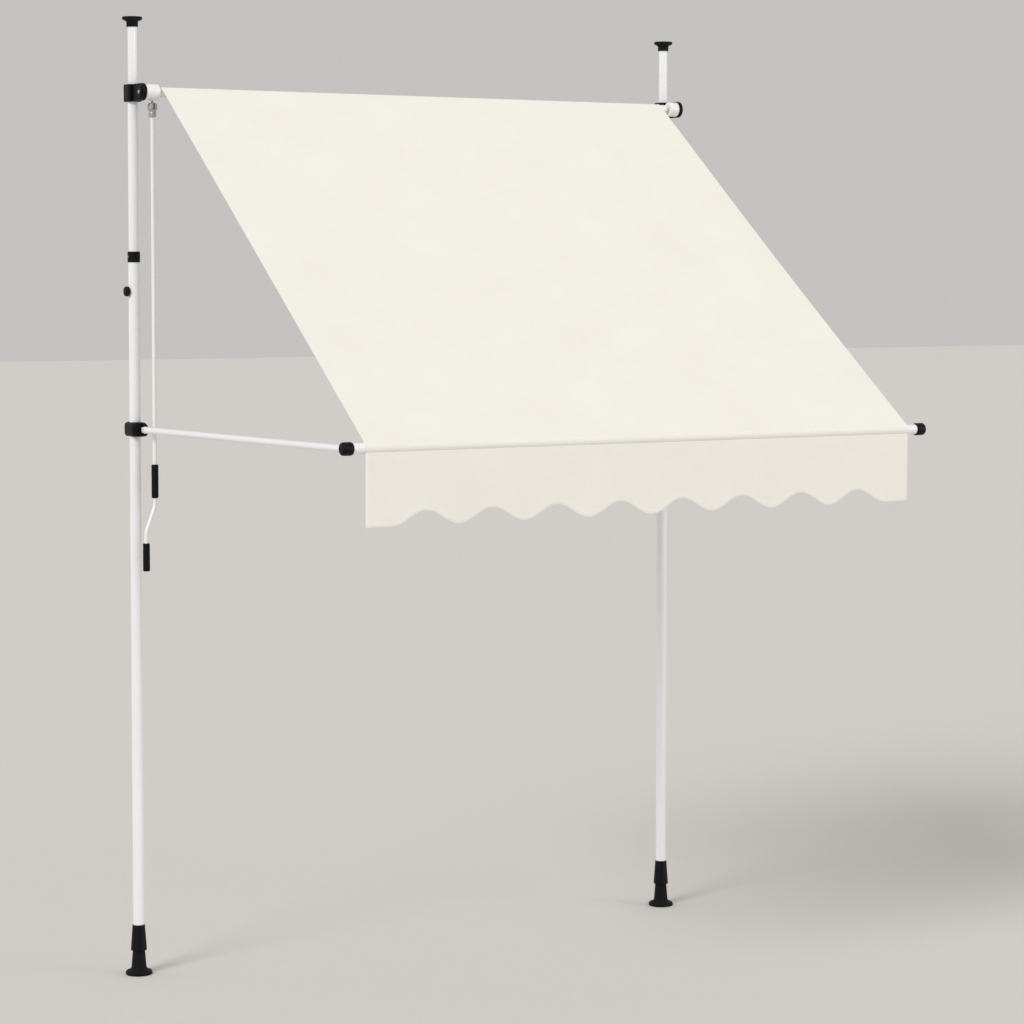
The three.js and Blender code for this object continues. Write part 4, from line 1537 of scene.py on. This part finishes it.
    def valance_area(self) -> float:
        """Flat area of the valance in square metres.

        Returns:
            Area in square metres.
        """
        xs = self.spread(self.valance_steps[0])
        return sum((x1 - x0) * ((self.edge(x0) + self.edge(x1)) / 2 - self.seam)
                   for x0, x1 in zip(xs, xs[1:])) * MM * MM

    def valance(self) -> Object:
        """Valance sheet with a scalloped lower edge.

        Returns:
            The sheet.
        """
        def place(share: float, down: float, layer: float) -> tuple[Vector, Point2]:
            """Point and flat place of one corner of the sheet.

            Args:
                share: share of the width, from 0 to 1.
                down: share of the depth, from 0 to 1.
                layer: thicknesses of cloth above the middle of the sheet.

            Returns:
                The point and its flat place.
            """
            x = self.half * (2 * share - 1)
            depth = self.seam + (self.edge(x) - self.seam) * down
            return self.hanging(x, depth, layer * self.thick), (x * MM, depth * MM)
        return sheet_mesh("valance_cloth", self.valance_steps, place)

    def tape_route(self) -> list[tuple[Point2, Point2]]:
        """Follows the valance's edge from the left seam round to the right one.

        Returns:
            Places of the edge, each with the way inward from it; a corner's way is its mitre.
        """
        top, side_steps = self.seam + 4, 20
        sides = [top + (self.lobe - top) * k / side_steps for k in range(side_steps)]
        route = [((-self.half, depth), (1, 0)) for depth in sides]
        for x in self.spread(self.valance_steps[0]):
            if self.half - self.tape < abs(x) < self.half:
                continue
            if abs(x) < self.half:
                slope = self.edge(x + 0.5) - self.edge(x - 0.5)
                size = math.hypot(1, slope)
                inward = (slope / size, -1 / size)
            else:
                inward = (-math.copysign(1, x), -1)
            route.append(((x, self.edge(x)), inward))
        return route + [((self.half, depth), (-1, 0)) for depth in reversed(sides)]

    def binding(self) -> Object:
        """Tape folded over the side and scalloped edges of the valance.

        Returns:
            The tape.
        """
        half, out = self.thick / 2, self.thick / 2 + self.tape_thick
        inside = half + 0.05
        face = [(self.tape, inside), (self.tape, out), (0.6, out), (-0.45, half * 0.5)]
        profile = face + [(reach, -z) for reach, z in reversed(face)]
        profile += [(0.3, -inside), (0.3, inside)]
        rings, flats = [], []
        travelled, before = 0.0, None
        for (x, depth), (ix, iz) in self.tape_route():
            travelled += math.dist((x, depth), before) if before else 0.0
            before = (x, depth)
            rings.append([])
            for reach, z in profile:
                px = x + ix * reach
                spot = self.hanging(max(-self.half, min(self.half, px)), depth + iz * reach, z)
                spot.x = px * MM
                rings[-1].append(spot)
                flats.append((travelled * MM, (reach + z) * MM))
        return lay_flat(loft("valance_binding", rings), flats)

    def valance_seams(self) -> Object:
        """Rows of stitches: two below the bar's pocket, one along the binding.

        Returns:
            The stitches.
        """
        dashes, count = [], self.valance_stitches
        front, forward, corner = self.thick / 2, Vector((0, -1, 0)), 12
        for k in range(count):
            ends = [-self.half + 2 * self.half * (k + t) / count for t in self.dash]
            rows = [([self.seam + down] * 2, front) for down in self.top_seams]
            if max(abs(x) for x in ends) < self.half - corner:
                rows.append(([self.edge(x) - self.tape_seam for x in ends],
                             front + self.tape_thick))
            for depths, out in rows:
                dashes.append((*(self.hanging(x, depth, out) for x, depth in zip(ends, depths)),
                               forward))
        return stitch_mesh("valance_stitches", dashes)


def sheet_mesh(name: str, steps: tuple[int, int],
               place: Callable[[float, float, float], tuple[Vector, Point2]]) -> Object:
    """Sheet with a map for its weave: two faces a cloth's thickness apart, joined all round.

    Args:
        name: name of the piece.
        steps: steps along it and across it.
        place: point and flat place, in metres, from the share along, the share across and the
            layer, 0.5 or -0.5 thicknesses from the middle.

    Returns:
        The piece.
    """
    rows, columns = steps
    spots = [place(i / rows, j / columns, layer) for layer in (0.5, -0.5)
             for i in range(rows + 1) for j in range(columns + 1)]
    row, sheet = columns + 1, (rows + 1) * (columns + 1)
    faces: list[tuple[int, ...]] = []
    for a in (i * row + j for i in range(rows) for j in range(columns)):
        faces.append((a, a + row, a + row + 1, a + 1))
        faces.append((sheet + a, sheet + a + 1, sheet + a + row + 1, sheet + a + row))
    border = list(range(columns)) + [i * row + columns for i in range(rows)]
    border += [rows * row + columns - j for j in range(columns)]
    border += [(rows - i) * row for i in range(rows)]
    faces += [(a, b, sheet + b, sheet + a) for a, b in zip(border, border[1:] + border[:1])]
    made = make_object(name, [point for point, _ in spots], faces, 50)
    return lay_flat(made, [flat for _, flat in spots])


def stitch_mesh(name: str, dashes: Sequence[tuple[Vector, Vector, Vector]]) -> Object:
    """Stitches as one mesh: each a low ridge between two points.

    Args:
        name: name of the piece.
        dashes: start, end and outward direction of each stitch, in metres.

    Returns:
        The piece.
    """
    width, rise, sunk = 0.35 * MM, 0.28 * MM, 0.1
    points: list[Vector] = []
    faces: list[tuple[int, ...]] = []
    for start, end, out in dashes:
        side = (end - start).cross(out).normalized() * width
        base, foot = len(points), out * (sunk * MM)
        for t, lift in ((0.0, -sunk), (0.2, 1.0), (0.8, 1.0), (1.0, -sunk)):
            spot = start + (end - start) * t
            points += [spot - side - foot, spot + out * (rise * lift), spot + side - foot]
        for a in (base, base + 3, base + 6):
            faces += [(a + u, a + v, a + 3 + v, a + 3 + u) for u, v in ((0, 1), (1, 2), (2, 0))]
        faces += [(base, base + 2, base + 1), (base + 9, base + 10, base + 11)]
    return make_object(name, points, faces, 50)


# ---- studio ------------------------------------------------------------------------------
@dataclass
class Studio:
    """Pale floor, soft lights and the camera, whose place is counted from the poles' plane."""

    pole_y: float
    reach: Point3 = (-4.6603, -8.4819, 2.2147)
    yaw: float = 30.73
    pitch: float = 3.294
    lens: float = 103.385
    shift: float = -0.0703
    floor_half: float = 60.0
    lamps: tuple[tuple[str, Point3, float, float, str], ...] = (
        ("key", (-3.2, -1.6, 2.6), 1.45, 22, "FFFFFF"),
        ("fill", (2.7, -3.2, 1.0), 0.76, 30, "FBFCFF"),
        ("rim", (-3.0, 3.0, 1.2), 0.15, 20, "FFFFFF"))

    def build(self) -> None:
        """Sets up everything that isn't part of the awning."""
        view = bpy.context.scene.view_settings
        view.view_transform, view.look, view.exposure = "Standard", "None", 0.0
        self.floor()
        self.world()
        for lamp in self.lamps:
            self.sun(*lamp)
        self.camera()

    def floor(self) -> None:
        """Pale matt floor."""
        mesh, half = bpy.data.meshes.new("floor"), self.floor_half
        mesh.from_pydata([(-half, -half, 0), (half, -half, 0), (half, half, 0),
                          (-half, half, 0)], [], [(0, 1, 2, 3)])
        floor = bpy.data.objects.new("floor", mesh)
        bpy.context.scene.collection.objects.link(floor)
        material = bpy.data.materials.new("pale_floor")
        material.use_nodes = True
        shader = next(n for n in material.node_tree.nodes if n.type == "BSDF_PRINCIPLED")
        shader.inputs["Base Color"].default_value = linear("DBD8D4")
        shader.inputs["Roughness"].default_value = 0.9
        shader.inputs["Specular IOR Level"].default_value = 0.1
        mesh.materials.append(material)

    def world(self) -> None:
        """Even surrounding light of the studio."""
        world = bpy.data.worlds.new("studio")
        world.use_nodes = True
        background = next(n for n in world.node_tree.nodes if n.type == "BACKGROUND")
        background.inputs["Color"].default_value = linear("E9E7E5")
        background.inputs["Strength"].default_value = 0.68
        bpy.context.scene.world = world

    def sun(self, name: str, spot: Point3, power: float, spread: float, colour: str) -> None:
        """Broad light from far away, as from a large softbox, so that the floor stays even.

        Args:
            name: name of the lamp.
            spot: place that it shines from, towards the origin.
            power: strength.
            spread: angle that the lamp fills, in degrees.
            colour: sRGB hex colour.
        """
        data = bpy.data.lights.new(name, "SUN")
        data.energy, data.angle = power, math.radians(spread)
        data.color = linear(colour)[:3]
        lamp = bpy.data.objects.new(name, data)
        lamp.location = spot
        lamp.rotation_euler = (-Vector(spot)).to_track_quat("-Z", "Y").to_euler()
        bpy.context.scene.collection.objects.link(lamp)

    def camera(self) -> None:
        """Camera a little above mid height, from the front left."""
        data = bpy.data.cameras.new("camera")
        data.lens, data.sensor_width, data.shift_y = self.lens, 36.0, self.shift
        data.clip_start, data.clip_end = 0.1, 100
        data.dof.use_dof = False
        camera = bpy.data.objects.new("camera", data)
        x, y, z = self.reach
        camera.location = (x, y + self.pole_y, z)
        camera.rotation_euler = (math.radians(90 - self.pitch), 0, -math.radians(self.yaw))
        bpy.context.scene.collection.objects.link(camera)
        bpy.context.scene.camera = camera


def main() -> None:
    """Builds the awning from the floor up, then the studio round it."""
    logging.basicConfig(level=logging.INFO, format="%(name)s %(message)s")
    places = Places()
    parts = [Pole(places, side) for side in Side] + [RollerUnit(places), Crank(places)]
    parts += [Arm(places, side) for side in Side] + [FrontBar(places), Cloth(places)]
    for part in parts:
        part.build()
    Studio(places.pole.y).build()


if __name__ == "__main__":
    main()
